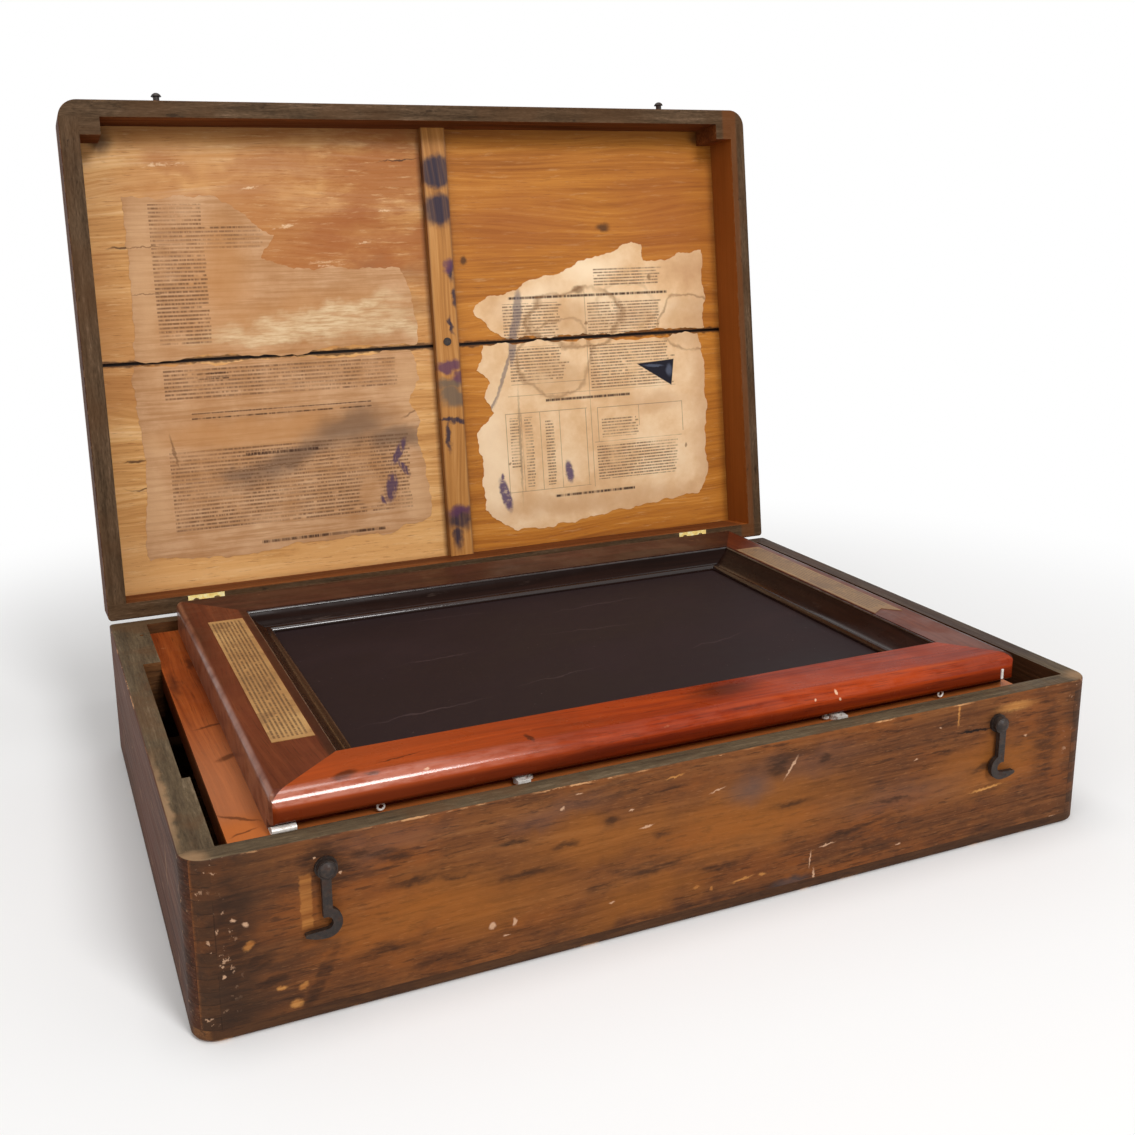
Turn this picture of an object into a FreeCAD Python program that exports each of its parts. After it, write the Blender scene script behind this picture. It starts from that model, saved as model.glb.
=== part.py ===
import FreeCAD, Part
import math
import os

os.makedirs("parts", exist_ok=True)
V = FreeCAD.Vector

# Flat-bed duplicating machine in a wooden box with a hinged lid.
# Origin: centre of the underside of the box. +X to the right, +Y to the back, +Z up.
# Rest position: lid open on its stops, printing frame down, hooks hanging.

# Box, all sizes in millimetres
box_width = 584.0
box_depth = 388.6
box_height = 101.0
side_wall_thickness = 14.0
end_wall_thickness = 12.5
bottom_thickness = 7.0
corner_radius = 14.0
back_corner_radius = 3.0
rim_edge_radius = 1.2
bottom_edge_radius = 2.5
case_finger_count = 13
bottom_seam = 0.4
bottom_seam_y = 38.0

# Lid
lid_wall_height = 36.0
lid_board_thickness = 7.0
lid_top_edge_radius = 3.0
lid_gap = 0.3
lid_open_angle = 97.6
lid_finger_count = 5
lid_seam_width = 2.4
lid_lap_width = 5.0
lid_lap_gap = 0.4
lid_batten_width = 21.0
lid_batten_thickness = 7.0
lid_batten_offset = 5.0
lid_block_length = 15.0
lid_block_depth = 13.0
lid_nail_pitch = 120.0
batten_screw_forward = 3.0
batten_screw_head_radius = 3.4
batten_screw_depth = 4.0
sheet_thickness = 0.4
sheet_left_wall_margin = 24.0
sheet_left_batten_margin = 13.5
sheet_left_foot_margin = 24.5
sheet_left_upper_height = 130.0
sheet_right_wall_margin = 16.0
sheet_right_batten_margin = 12.5
sheet_right_foot_margin = 14.5
sheet_right_upper_height = 78.0
sheet_tear_margin = 1.6

# Lid hinges
hinge_from_side = 74.0
hinge_length = 28.0
hinge_leaf_thickness = 1.5
hinge_axis_offset = 1.2
hinge_barrel_radius = 2.6
hinge_pin_radius = 1.2
hinge_play = 0.05
hinge_side_gap = 0.1
barrel_clearance = 0.3
leaf_screw_pitch = 16.0
leaf_screw_inset = 5.5
stop_tongue_length = 13.0
stop_tongue_thickness = 2.1
stop_gap = 0.05

# Bed that carries the printing frame
bed_left_gap = 12.0
bed_right_gap = 32.0
bed_front_gap = 4.3
bed_back_gap = 8.8
bed_drop = 5.0
bed_thickness = 16.0
cleat_width = 17.0
cleat_height = 16.0
cleat_end_inset = 16.0
blanket_thickness = 2.5
blanket_margin = 10.0
left_rear_block_length = 87.0
left_front_block_length = 84.0
left_front_block_width = 4.5
left_block_height = 41.0
block_hole_radius = 1.5
block_hole_depth = 6.0
block_hole_from_back = 24.0
right_block_length = 240.0
right_block_height = 22.0
right_block_drop = 7.0

# Printing frame
frame_left_inset = 21.5
frame_right_inset = 4.0
frame_height = 23.4
left_stile_width = 44.5
right_stile_width = 32.0
front_rail_width = 39.5
back_rail_width = 47.0
frame_edge_radius = 4.5
frame_corner_radius = 5.0
front_nose_radius = 9.0
front_foot_radius = 3.0
front_rebate_height = 6.3
front_rebate_depth = 12.0
moulding_width = 16.0
right_moulding_width = 23.0
moulding_drop = 0.6
moulding_lip_radius = 1.5
moulding_hollow = 1.2
moulding_bead_radius = 3.0
moulding_bead_lift = 1.0
moulding_bead_turn = 125.0
diaphragm_height = 9.0
diaphragm_thickness = 3.5
label_thickness = 0.3
label_outer_inset = 14.5
label_inner_inset = 5.5
label_front_inset = 64.5
label_back_inset = 63.0
right_label_outer_inset = 9.5
right_label_inner_inset = 0.8
right_label_front_inset = 101.5
right_label_back_inset = 61.0
right_label_tear = 10.0

# Hinges of the printing frame, the same size as those of the lid
frame_hinge_inset = 84.0
frame_leaf_screw_inset = 7.0
frame_leaf_reach = 16.0
frame_hinge_recess = 0.1

# Hooks on the front of the box and studs on the lid
hook_thickness = 3.0
hook_eye_radius = 5.2
hook_shank_width = 5.0
hook_shank_offset = -0.9
hook_throat_x = -1.8
hook_throat_z = -29.0
hook_throat_radius = 3.4
hook_outer_radius = 8.3
hook_tip_x = -13.0
hook_plate_radius = 6.0
hook_plate_thickness = 1.7
hook_screw_radius = 2.2
hook_screw_depth = 10.0
left_hook_from_side = 70.6
left_hook_from_rim = 16.7
right_hook_from_side = 78.5
right_hook_from_rim = 17.7
stud_radius = 2.4
stud_head_radius = 3.9
stud_head_height = 2.8

# Small turn catches at the front of the bed
catch_spacing = 211.0
catch_inset = 8.0
catch_width = 7.5
catch_reach = 9.1
catch_tail = 3.8
catch_thickness = 1.6
catch_height = 3.2
catch_slot_inner = 4.7
catch_slot_outer = 7.7
catch_spacer_radius = 3.0
catch_post_radius = 1.5
catch_cap_radius = 2.8
catch_post_depth = 10.0
catch_play = 0.08
keeper_neck_radius = 1.1
keeper_head_radius = 2.3
keeper_head_height = 1.6
keeper_depth = 7.0
wire_clip_spacing = 371.0
wire_radius = 0.6
wire_clip_length = 20.0
wire_loop_radius = 1.9
wire_clip_inset = 5.0
strip_width = 1.6
strip_height = 6.5
strip_lift = 2.0
strip_thickness = 0.8
strip_from_right = 12.3
corner_clip_length = 13.0
corner_clip_radius = 2.4
corner_clip_bore = 1.6
corner_clip_inset = 0.5

# Fasteners
screw_radius = 1.4
screw_head_radius = 2.8
screw_length = 9.0
nail_radius = 0.9
nail_head_radius = 1.8
nail_length = 14.0


def box(x0, x1, y0, y1, z0, z1):
    return Part.makeBox(x1 - x0, y1 - y0, z1 - z0, V(x0, y0, z0))


def upright(x, y, z0, z1, radius):
    return Part.makeCylinder(radius, z1 - z0, V(x, y, z0), V(0, 0, 1))


def along_x(x0, x1, y, z, radius):
    return Part.makeCylinder(radius, x1 - x0, V(x0, y, z), V(1, 0, 0))


def to_back(x, z, y0, y1, radius):
    return Part.makeCylinder(radius, y1 - y0, V(x, y0, z), V(0, 1, 0))


def prism(points, z0, z1):
    corners = [V(x, y, z0) for x, y in points]
    face = Part.Face(Part.makePolygon(corners + corners[:1]))
    return face.extrude(V(0, 0, z1 - z0))


def cut_all(shape, tools):
    for tool in tools:
        shape = shape.cut(tool)
    return shape


def mirrored(shape):
    return shape.mirror(V(0, 0, 0), V(1, 0, 0))


def save(name, shape):
    solids = shape.Solids
    result = solids[0] if len(solids) == 1 else Part.makeCompound(solids)
    if not solids or not all(s.isValid() and s.isClosed() for s in solids):
        raise ValueError("bad solid in " + name)
    result.exportStep("parts/" + name + ".step")


half_width = box_width / 2
half_depth = box_depth / 2
inner_x = half_width - side_wall_thickness
inner_y = half_depth - end_wall_thickness
lid_base = box_height + lid_gap
lid_board_base = lid_base + lid_wall_height
lid_top = lid_board_base + lid_board_thickness
hinge_y = half_depth + hinge_axis_offset
hinge_z = box_height + lid_gap / 2
hinge_x = half_width - hinge_from_side
bed_left = bed_left_gap - inner_x
bed_right = inner_x - bed_right_gap
bed_front = bed_front_gap - inner_y
bed_back = inner_y - bed_back_gap
bed_top = box_height - bed_drop
frame_left = bed_left + frame_left_inset
frame_right = bed_right - frame_right_inset
frame_front = bed_front
frame_back = bed_back
frame_top = bed_top + frame_height
diaphragm_top = bed_top + diaphragm_height
right_block_top = box_height - right_block_drop
left_hook_x = left_hook_from_side - half_width
left_hook_z = box_height - left_hook_from_rim
right_hook_x = half_width - right_hook_from_side
right_hook_z = box_height - right_hook_from_rim
catch_pivot_y = bed_front + catch_inset
catch_bottom = bed_top + catch_height


def rounded_block(z0, z1, low_radius, high_radius):
    block = box(-half_width, half_width, -half_depth, half_depth, z0, z1)
    # The front corners are well rounded, the hinge side's are nearly square
    for side, radius in ((-1, corner_radius), (1, back_corner_radius)):
        corners = [e for e in block.Edges
                   if abs(e.Vertexes[0].Z - e.Vertexes[1].Z) > 1 and e.Vertexes[0].Y * side > 0]
        block = block.makeFillet(radius, corners)
    for level, radius in ((z0, low_radius), (z1, high_radius)):
        rim = [e for e in block.Edges if all(abs(v.Z - level) < 1e-6 for v in e.Vertexes)]
        block = block.makeFillet(radius, rim)
    return block


def jointed_walls(z0, z1, count):
    """Four walls whose corners are locked by a comb of square fingers."""
    pitch = (z1 - z0) / count
    front = box(-half_width, half_width, -half_depth, -inner_y, z0, z1)
    left = box(-half_width, -inner_x, -half_depth, half_depth, z0, z1)
    for index in range(count):
        low = z0 + index * pitch
        high = low + pitch
        if index % 2:
            front = front.cut(box(-half_width, -inner_x, -half_depth, -inner_y, low, high))
            front = front.cut(box(inner_x, half_width, -half_depth, -inner_y, low, high))
        else:
            left = left.cut(box(-half_width, -inner_x, -half_depth, -inner_y, low, high))
            left = left.cut(box(-half_width, -inner_x, inner_y, half_depth, low, high))
    back = front.mirror(V(0, 0, 0), V(0, 1, 0))
    right = mirrored(left)
    return front, back, left, right


def open_lid(shape):
    """Carry a piece drawn on the closed lid to the open rest position."""
    moved = shape.copy()
    moved.rotate(V(0, hinge_y, hinge_z), V(1, 0, 0), -lid_open_angle)
    return moved


def flat_screw(x, y, z, direction, plate):
    """Countersunk screw with its head flush at z, driven along direction (+1 up, -1 down)."""
    way = V(0, 0, direction)
    head = Part.makeCone(screw_head_radius, screw_radius, plate, V(x, y, z), way)
    shank = Part.makeCylinder(screw_radius, screw_length, V(x, y, z), way)
    return head.fuse(shank).removeSplitter()


def butt_hinge(x_mid, length, y_axis, z_axis, reach, thickness, half_gap, barrel, pin):
    """Fixed lower leaf, moving upper leaf in the closed position, and the pin."""
    x0 = x_mid - length / 2
    x3 = x_mid + length / 2
    x1 = x0 + length / 3
    x2 = x3 - length / 3
    guard = barrel + barrel_clearance
    lower = box(x0, x3, y_axis - reach, y_axis, z_axis - half_gap - thickness, z_axis - half_gap)
    upper = box(x0, x3, y_axis - reach, y_axis, z_axis + half_gap, z_axis + half_gap + thickness)

    def room(a, b):
        return box(a, b, y_axis - guard, y_axis + guard, z_axis - guard, z_axis + guard)

    lower = lower.cut(room(x1 - hinge_side_gap, x2 + hinge_side_gap))
    lower = lower.fuse(along_x(x0, x1 - hinge_side_gap, y_axis, z_axis, barrel))
    lower = lower.fuse(along_x(x2 + hinge_side_gap, x3, y_axis, z_axis, barrel))
    upper = upper.cut(room(x0 - 1, x1 + hinge_side_gap)).cut(room(x2 - hinge_side_gap, x3 + 1))
    upper = upper.fuse(along_x(x1 + hinge_side_gap, x2 - hinge_side_gap, y_axis, z_axis, barrel))
    bore = along_x(x0 - 1, x3 + 1, y_axis, z_axis, pin + hinge_play)
    axle = along_x(x0, x3, y_axis, z_axis, pin)
    return lower.cut(bore).removeSplitter(), upper.cut(bore).removeSplitter(), axle


# Lid hinges with their screws
lid_leaf_reach = half_depth - inner_y + hinge_axis_offset - 0.3
case_leaves = []
lid_leaves = []
lid_pins = []
case_leaf_screws = []
lid_leaf_screws = []
leaf_screw_y = inner_y + leaf_screw_inset
for side in (-1, 1):
    mid = side * hinge_x
    low, high, pin = butt_hinge(mid, hinge_length, hinge_y, hinge_z, lid_leaf_reach,
                                hinge_leaf_thickness, lid_gap / 2, hinge_barrel_radius,
                                hinge_pin_radius)
    for step in (-leaf_screw_pitch / 2, leaf_screw_pitch / 2):
        case_leaf_screws.append(flat_screw(mid + step, leaf_screw_y, box_height, -1,
                                           hinge_leaf_thickness))
        lid_leaf_screws.append(flat_screw(mid + step, leaf_screw_y, lid_base, 1,
                                          hinge_leaf_thickness))
    case_leaves.append(low)
    lid_leaves.append(high)
    lid_pins.append(pin)

barrel_guard = hinge_barrel_radius + barrel_clearance
leaf_rooms = []
for side in (-1, 1):
    x0 = side * hinge_x - hinge_length / 2
    x1 = x0 + hinge_length
    leaf_rooms.append(box(x0 - barrel_clearance, x1 + barrel_clearance,
                          hinge_y - barrel_guard, half_depth + 5,
                          hinge_z - barrel_guard, hinge_z + barrel_guard))
    leaf_rooms.append(box(x0, x1, hinge_y - lid_leaf_reach, half_depth + 5,
                          box_height - hinge_leaf_thickness,
                          lid_base + hinge_leaf_thickness))

# Box walls and bottom
case_block = rounded_block(0, box_height, bottom_edge_radius, rim_edge_radius)
front, back, left, right = jointed_walls(bottom_thickness, box_height, case_finger_count)
front = front.common(case_block)
back = cut_all(back.common(case_block), leaf_rooms + case_leaf_screws)
left = left.common(case_block)
right = right.common(case_block)
bottom_front = case_block.common(box(-half_width, half_width, -half_depth,
                                     bottom_seam_y - bottom_seam / 2, 0, bottom_thickness))
bottom_back = case_block.common(box(-half_width, half_width,
                                    bottom_seam_y + bottom_seam / 2, half_depth,
                                    0, bottom_thickness))

# Blocks that hold the bed in place inside the box
left_rear_block = box(-inner_x, bed_left, inner_y - left_rear_block_length, inner_y,
                      box_height - left_block_height, box_height)
block_hole_x = (bed_left - inner_x) / 2
left_rear_block = left_rear_block.cut(upright(block_hole_x, inner_y - block_hole_from_back,
                                              box_height - block_hole_depth, box_height,
                                              block_hole_radius))
left_front_block = box(-inner_x, -inner_x + left_front_block_width, -inner_y,
                       -inner_y + left_front_block_length,
                       box_height - left_block_height, box_height)
right_block = box(bed_right, inner_x, -right_block_length / 2, right_block_length / 2,
                  right_block_top - right_block_height, right_block_top)
bed_bottom = bed_top - bed_thickness
cleat_left = bed_left + cleat_end_inset
cleat_right = bed_right - cleat_end_inset
front_cleat = box(cleat_left, cleat_right, -inner_y, -inner_y + cleat_width,
                  bed_bottom - cleat_height, bed_bottom)
back_cleat = box(cleat_left, cleat_right, inner_y - cleat_width, inner_y,
                 bed_bottom - cleat_height, bed_bottom)

# Printing frame: one ring, cut at the mitres into four members
opening_left = frame_left + left_stile_width
opening_right = frame_right - right_stile_width
opening_front = frame_front + front_rail_width
opening_back = frame_back - back_rail_width
ring = box(frame_left, frame_right, frame_front, frame_back, bed_top, frame_top)
posts = [e for e in ring.Edges if abs(e.Vertexes[0].Z - e.Vertexes[1].Z) > 1]
ring = ring.makeFillet(frame_corner_radius, posts)
arris = [e for e in ring.Edges if all(abs(v.Z - frame_top) < 1e-6 for v in e.Vertexes)]
ring = ring.makeFillet(frame_edge_radius, arris)
ring = ring.cut(box(opening_left, opening_right, opening_front, opening_back,
                    bed_top - 1, frame_top + 1))
rebate_top = bed_top + front_rebate_height
rebate_back = frame_front + front_rebate_depth
ring = ring.cut(box(frame_left - 1, frame_right + 1, frame_front - 1, rebate_back,
                    bed_top - 1, rebate_top))


def front_waste(radius, z_face, side):
    """What a rounding takes off the frame's front arris at z_face; side is -1 above, +1 below."""
    centre_z = z_face + side * radius
    outside = z_face - side
    block = box(frame_left - 1, frame_right + 1, frame_front - 1, frame_front + radius,
                min(centre_z, outside), max(centre_z, outside))
    return block.cut(along_x(frame_left - 1, frame_right + 1, frame_front + radius, centre_z,
                             radius))


ring = ring.cut(front_waste(front_nose_radius, frame_top, -1))
ring = ring.cut(front_waste(front_foot_radius, rebate_top, 1))

outer_corners = [(frame_left, frame_front), (frame_right, frame_front),
                 (frame_right, frame_back), (frame_left, frame_back)]
inner_corners = [(opening_left, opening_front), (opening_right, opening_front),
                 (opening_right, opening_back), (opening_left, opening_back)]


def mitre_piece(solid, index, outer, inner):
    after = (index + 1) % 4
    plan = [outer[index], outer[after], inner[after], inner[index]]
    return solid.common(prism(plan, bed_top - 1, frame_top + 1))


front_rail = mitre_piece(ring, 0, outer_corners, inner_corners)
right_stile = mitre_piece(ring, 1, outer_corners, inner_corners)
back_rail = mitre_piece(ring, 2, outer_corners, inner_corners)
left_stile = mitre_piece(ring, 3, outer_corners, inner_corners)

# Moulding around the well of the frame: a lip, a hollow slope and a bead at its foot
moulding_top = frame_top - moulding_drop
moulding_widths = (moulding_width, right_moulding_width, moulding_width, moulding_width)
well_left = opening_left + moulding_width
well_right = opening_right - right_moulding_width
well_front = opening_front + moulding_width
well_back = opening_back - moulding_width
well_corners = [(well_left, well_front), (well_right, well_front),
                (well_right, well_back), (well_left, well_back)]


def moulding_bar(length, width):
    """Bar along +X with its tall back on the XZ plane, falling towards +Y."""
    low = diaphragm_top
    lip = moulding_lip_radius

    def on_lip(degrees):
        turn = math.radians(degrees)
        return V(0, lip * math.cos(turn), moulding_top - lip + lip * math.sin(turn))

    def on_bead(degrees):
        turn = math.radians(degrees)
        return V(0, width - moulding_bead_radius * (1 - math.cos(turn)),
                 low + moulding_bead_lift + moulding_bead_radius * math.sin(turn))

    back_foot = V(0, 0, low)
    front_foot = V(0, width, low)
    high = on_lip(0)
    deep = on_bead(moulding_bead_turn)
    fall = math.hypot(deep.y - high.y, high.z - deep.z)
    hollow = (high + deep) * 0.5 - V(0, high.z - deep.z, deep.y - high.y) * (moulding_hollow / fall)
    edges = [Part.makeLine(back_foot, on_lip(90)),
             Part.Arc(on_lip(90), on_lip(45), high).toShape(),
             Part.Arc(high, hollow, deep).toShape(),
             Part.Arc(deep, on_bead(moulding_bead_turn / 2), on_bead(0)).toShape(),
             Part.makeLine(on_bead(0), front_foot), Part.makeLine(front_foot, back_foot)]
    return Part.Face(Part.Wire(edges)).extrude(V(length, 0, 0))


def moulding_side(index):
    x0, y0 = inner_corners[index]
    x1, y1 = inner_corners[(index + 1) % 4]
    bar = moulding_bar(math.hypot(x1 - x0, y1 - y0), moulding_widths[index])
    bar.rotate(V(0, 0, 0), V(0, 0, 1), 90 * index)
    bar.translate(V(x0, y0, 0))
    return mitre_piece(bar, index, inner_corners, well_corners)


mouldings = [moulding_side(i) for i in range(4)]
diaphragm = box(opening_left, opening_right, opening_front, opening_back,
                diaphragm_top - diaphragm_thickness, diaphragm_top)

label_left = box(frame_left + label_outer_inset, opening_left - label_inner_inset,
                 frame_front + label_front_inset, frame_back - label_back_inset,
                 frame_top, frame_top + label_thickness)
tear_left = opening_right + right_label_inner_inset
tear_right = frame_right - right_label_outer_inset
tear_mid = (tear_left + tear_right) / 2
tear_front = frame_front + right_label_front_inset
label_top_end = frame_back - right_label_back_inset
label_right = prism([(tear_left, tear_front + 0.3 * right_label_tear),
                     (tear_mid, tear_front + right_label_tear), (tear_right, tear_front),
                     (tear_right, label_top_end), (tear_left, label_top_end)],
                    frame_top, frame_top + label_thickness)

# Bed with its felt blanket
bed = box(bed_left, bed_right, bed_front, bed_back, bed_bottom, bed_top)
blanket = box(opening_left + blanket_margin, opening_right - blanket_margin,
              opening_front + blanket_margin, opening_back - blanket_margin,
              bed_top, bed_top + blanket_thickness)

# Hinges between the printing frame and the bed
frame_axis_y = frame_back + hinge_barrel_radius + 0.2
bed_leaves = []
frame_leaves = []
frame_pins = []
bed_leaf_screws = []
frame_leaf_screws = []
for mid in (frame_left + frame_hinge_inset, frame_right - frame_hinge_inset):
    low, high, pin = butt_hinge(mid, hinge_length, frame_axis_y, bed_top, frame_leaf_reach,
                                hinge_leaf_thickness, frame_hinge_recess, hinge_barrel_radius,
                                hinge_pin_radius)
    x0 = mid - hinge_length / 2
    x1 = mid + hinge_length / 2
    mortise = box(x0, x1, frame_axis_y - frame_leaf_reach, frame_back + 1,
                  bed_top - frame_hinge_recess - hinge_leaf_thickness,
                  bed_top + frame_hinge_recess + hinge_leaf_thickness)
    for step in (-leaf_screw_pitch / 2, leaf_screw_pitch / 2):
        y = frame_back - frame_leaf_screw_inset
        bed_leaf_screws.append(flat_screw(mid + step, y, bed_top - frame_hinge_recess, -1,
                                          hinge_leaf_thickness))
        frame_leaf_screws.append(flat_screw(mid + step, y, bed_top + frame_hinge_recess, 1,
                                            hinge_leaf_thickness))
    bed = bed.cut(mortise)
    back_rail = back_rail.cut(mortise)
    bed_leaves.append(low)
    frame_leaves.append(high)
    frame_pins.append(pin)
bed = cut_all(bed, bed_leaf_screws)
back_rail = cut_all(back_rail, frame_leaf_screws)

# Turn catches: pivot screws in the bed, slotted plates, headed keepers under the front rail
pivot_screws = []
keepers = []
catches = []
catch_top = catch_bottom + catch_thickness
for side in (-1, 1):
    px = side * catch_spacing / 2
    inward = -side
    spacer = upright(px, catch_pivot_y, bed_top, catch_bottom - 0.15, catch_spacer_radius)
    post = upright(px, catch_pivot_y, bed_top - catch_post_depth, catch_top + 0.2,
                   catch_post_radius)
    cap = upright(px, catch_pivot_y, catch_top + 0.15, rebate_top - 0.4, catch_cap_radius)
    pivot_screws.append(spacer.fuse(post).fuse(cap).removeSplitter())
    plate = box(px - catch_width / 2, px + catch_width / 2, catch_pivot_y - catch_reach,
                catch_pivot_y, catch_bottom, catch_top)
    plate = plate.fuse(upright(px, catch_pivot_y, catch_bottom, catch_top, catch_tail))
    slot = upright(px, catch_pivot_y, catch_bottom, catch_top, catch_slot_outer)
    slot = slot.cut(upright(px, catch_pivot_y, catch_bottom, catch_top, catch_slot_inner))
    edge = px + inward * catch_reach
    slot = slot.common(box(min(px, edge), max(px, edge), catch_pivot_y - catch_reach,
                           catch_pivot_y, catch_bottom, catch_top))
    slot_mid = (catch_slot_inner + catch_slot_outer) / 2
    slot_half = (catch_slot_outer - catch_slot_inner) / 2
    slot = slot.fuse(upright(px, catch_pivot_y - slot_mid, catch_bottom, catch_top, slot_half))
    plate = plate.cut(slot).cut(upright(px, catch_pivot_y, catch_bottom, catch_top,
                                        catch_post_radius + catch_play))
    catches.append(plate.removeSplitter())
    kx = px + inward * slot_mid
    keeper = upright(kx, catch_pivot_y, catch_bottom - 0.4, rebate_top + keeper_depth,
                     keeper_neck_radius)
    keeper = keeper.fuse(upright(kx, catch_pivot_y, catch_bottom - 0.3 - keeper_head_height,
                                 catch_bottom - 0.3, keeper_head_radius))
    keepers.append(keeper.removeSplitter())
bed = cut_all(bed, pivot_screws)
front_rail = cut_all(front_rail, keepers)

# The rebate stands on a narrower sill glued under the front rail
front_sill = front_rail.common(box(frame_left, frame_right, frame_front, opening_front,
                                   bed_top, rebate_top))
front_rail = front_rail.common(box(frame_left, frame_right, frame_front, opening_front,
                                   rebate_top, frame_top))

# Wire clips under the front rail, bright strip on its face, rolled clip on the bed corner
wire_clips = []
clip_y = frame_front + wire_clip_inset
for side in (-1, 1):
    cx = side * wire_clip_spacing / 2
    z = rebate_top - wire_radius
    straight = along_x(cx - wire_clip_length / 2, cx + wire_clip_length / 2, clip_y,
                       z, wire_radius)
    loop = Part.makeTorus(wire_loop_radius, wire_radius,
                          V(cx, clip_y, z - wire_loop_radius - 0.3), V(0, 1, 0))
    wire_clips.append(straight.fuse(loop).removeSplitter())
strip_x = frame_right - strip_from_right
strip_foot = rebate_top + strip_lift
front_strip = box(strip_x, strip_x + strip_width, frame_front - strip_thickness, frame_front,
                  strip_foot, strip_foot + strip_height)
roll_x = frame_left + corner_clip_inset
roll_y = frame_front + corner_clip_radius + 0.6
roll_z = bed_top + corner_clip_radius + 0.3
clip_roll = along_x(roll_x, roll_x + corner_clip_length, roll_y, roll_z, corner_clip_radius)
clip_roll = clip_roll.cut(along_x(roll_x - 1, roll_x + corner_clip_length + 1, roll_y, roll_z,
                                  corner_clip_bore))
clip_leaf = box(roll_x, roll_x + corner_clip_length, roll_y - 1, rebate_back - 0.4,
                bed_top, bed_top + corner_clip_radius - corner_clip_bore)
corner_clip = clip_roll.fuse(clip_leaf).removeSplitter()

# Lid, drawn closed, with all that is fixed to it
lid_block = rounded_block(lid_base, lid_top, rim_edge_radius, lid_top_edge_radius)
lid_front, lid_back, lid_left, lid_right = jointed_walls(lid_base, lid_board_base,
                                                         lid_finger_count)
lid_front = lid_front.common(lid_block)
lid_back = cut_all(lid_back.common(lid_block), leaf_rooms + lid_leaf_screws)
lid_left = lid_left.common(lid_block)
lid_right = lid_right.common(lid_block)
lap_level = lid_board_base + lid_board_thickness / 2
lap_edge = lid_seam_width / 2 + lid_lap_width
front_board_plan = box(-half_width, half_width, -half_depth, -lid_seam_width / 2,
                       lid_board_base, lid_top)
front_board_plan = front_board_plan.fuse(box(-half_width, half_width, -half_depth, lap_edge,
                                             lap_level, lid_top))
back_board_plan = box(-half_width, half_width, lap_edge + lid_lap_gap, half_depth,
                      lid_board_base, lid_top)
back_board_plan = back_board_plan.fuse(box(-half_width, half_width, lid_seam_width / 2,
                                           half_depth, lid_board_base, lap_level))
lid_front_board = lid_block.common(front_board_plan).removeSplitter()
lid_back_board = lid_block.common(back_board_plan).removeSplitter()
batten_left = lid_batten_offset - lid_batten_width / 2
batten_right = lid_batten_offset + lid_batten_width / 2
batten_base = lid_board_base - lid_batten_thickness
batten = box(batten_left, batten_right, -inner_y, inner_y, batten_base, lid_board_base)
batten_screw_y = -batten_screw_forward
batten_screw = upright(lid_batten_offset, batten_screw_y, batten_base - 1.0, batten_base,
                       batten_screw_head_radius)
batten_screw = batten_screw.fuse(upright(lid_batten_offset, batten_screw_y, batten_base - 1.0,
                                         lid_board_base + batten_screw_depth, screw_radius))
batten = batten.cut(batten_screw)
lid_front_board = lid_front_board.cut(batten_screw)
lid_block_left = box(-inner_x, -inner_x + lid_block_length, -inner_y,
                     -inner_y + lid_block_depth, lid_base, lid_board_base)
lid_block_right = mirrored(lid_block_left)

lid_nails = []
nail_wells = []
for ix in range(-2, 3):
    for side in (-1, 1):
        x = lid_nail_pitch * ix
        y = side * (half_depth - end_wall_thickness / 2)
        head = upright(x, y, lid_top - 1.4, lid_top - 0.4, nail_head_radius)
        lid_nails.append(head.fuse(upright(x, y, lid_top - nail_length, lid_top - 0.4,
                                           nail_radius)))
        nail_wells.append(upright(x, y, lid_top - 0.4, lid_top + 1, nail_head_radius))
lid_front_board = cut_all(lid_front_board, lid_nails[0::2] + nail_wells[0::2])
lid_back_board = cut_all(lid_back_board, lid_nails[1::2] + nail_wells[1::2])
lid_front = cut_all(lid_front, lid_nails[0::2])
lid_back = cut_all(lid_back, lid_nails[1::2])


def lid_sheet(outline, x0, x1, low, high):
    """Torn paper glued inside the lid; each outline point is a share of the paper's size."""
    plan = [(x0 + u * (x1 - x0), half_depth - low - t * (high - low)) for u, t in outline]
    return prism(plan, lid_board_base - sheet_thickness, lid_board_base)


seam_low = half_depth - lid_seam_width / 2 - sheet_tear_margin
seam_high = half_depth + lid_seam_width / 2 + sheet_tear_margin
left_x0 = -inner_x + sheet_left_wall_margin
left_x1 = batten_left - sheet_left_batten_margin
left_foot = end_wall_thickness + sheet_left_foot_margin
right_x0 = batten_right + sheet_right_batten_margin
right_x1 = inner_x - sheet_right_wall_margin
right_foot = end_wall_thickness + sheet_right_foot_margin
sheet_left_upper = lid_sheet([(0.02, 1), (0.33, 0.97), (0.52, 0.77), (0.53, 0.56), (0.97, 0.53),
                              (1, 0), (0.01, 0)],
                             left_x0, left_x1, seam_high, seam_high + sheet_left_upper_height)
sheet_left_lower = lid_sheet([(0.01, 1), (0.98, 1), (1, 0.76), (0.96, 0.53), (1, 0.38),
                              (1, 0.07), (0.84, 0), (0, 0)],
                             left_x0, left_x1, left_foot, seam_low)
sheet_right_upper = lid_sheet([(0.04, 0.22), (0.14, 0.43), (0.41, 0.7), (0.63, 0.88),
                               (0.68, 1), (0.74, 0.82), (1, 0.9), (1, 0), (0.16, 0),
                               (0.08, 0.12)],
                              right_x0, right_x1, seam_high,
                              seam_high + sheet_right_upper_height)
sheet_right_lower = lid_sheet([(0.05, 1), (0.96, 1), (1, 0.74), (1, 0.1), (0.93, 0.03),
                               (0.1, 0), (0.02, 0.12), (0, 0.66), (0.07, 0.79),
                               (0.12, 0.86)],
                              right_x0, right_x1, right_foot, seam_low)

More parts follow.
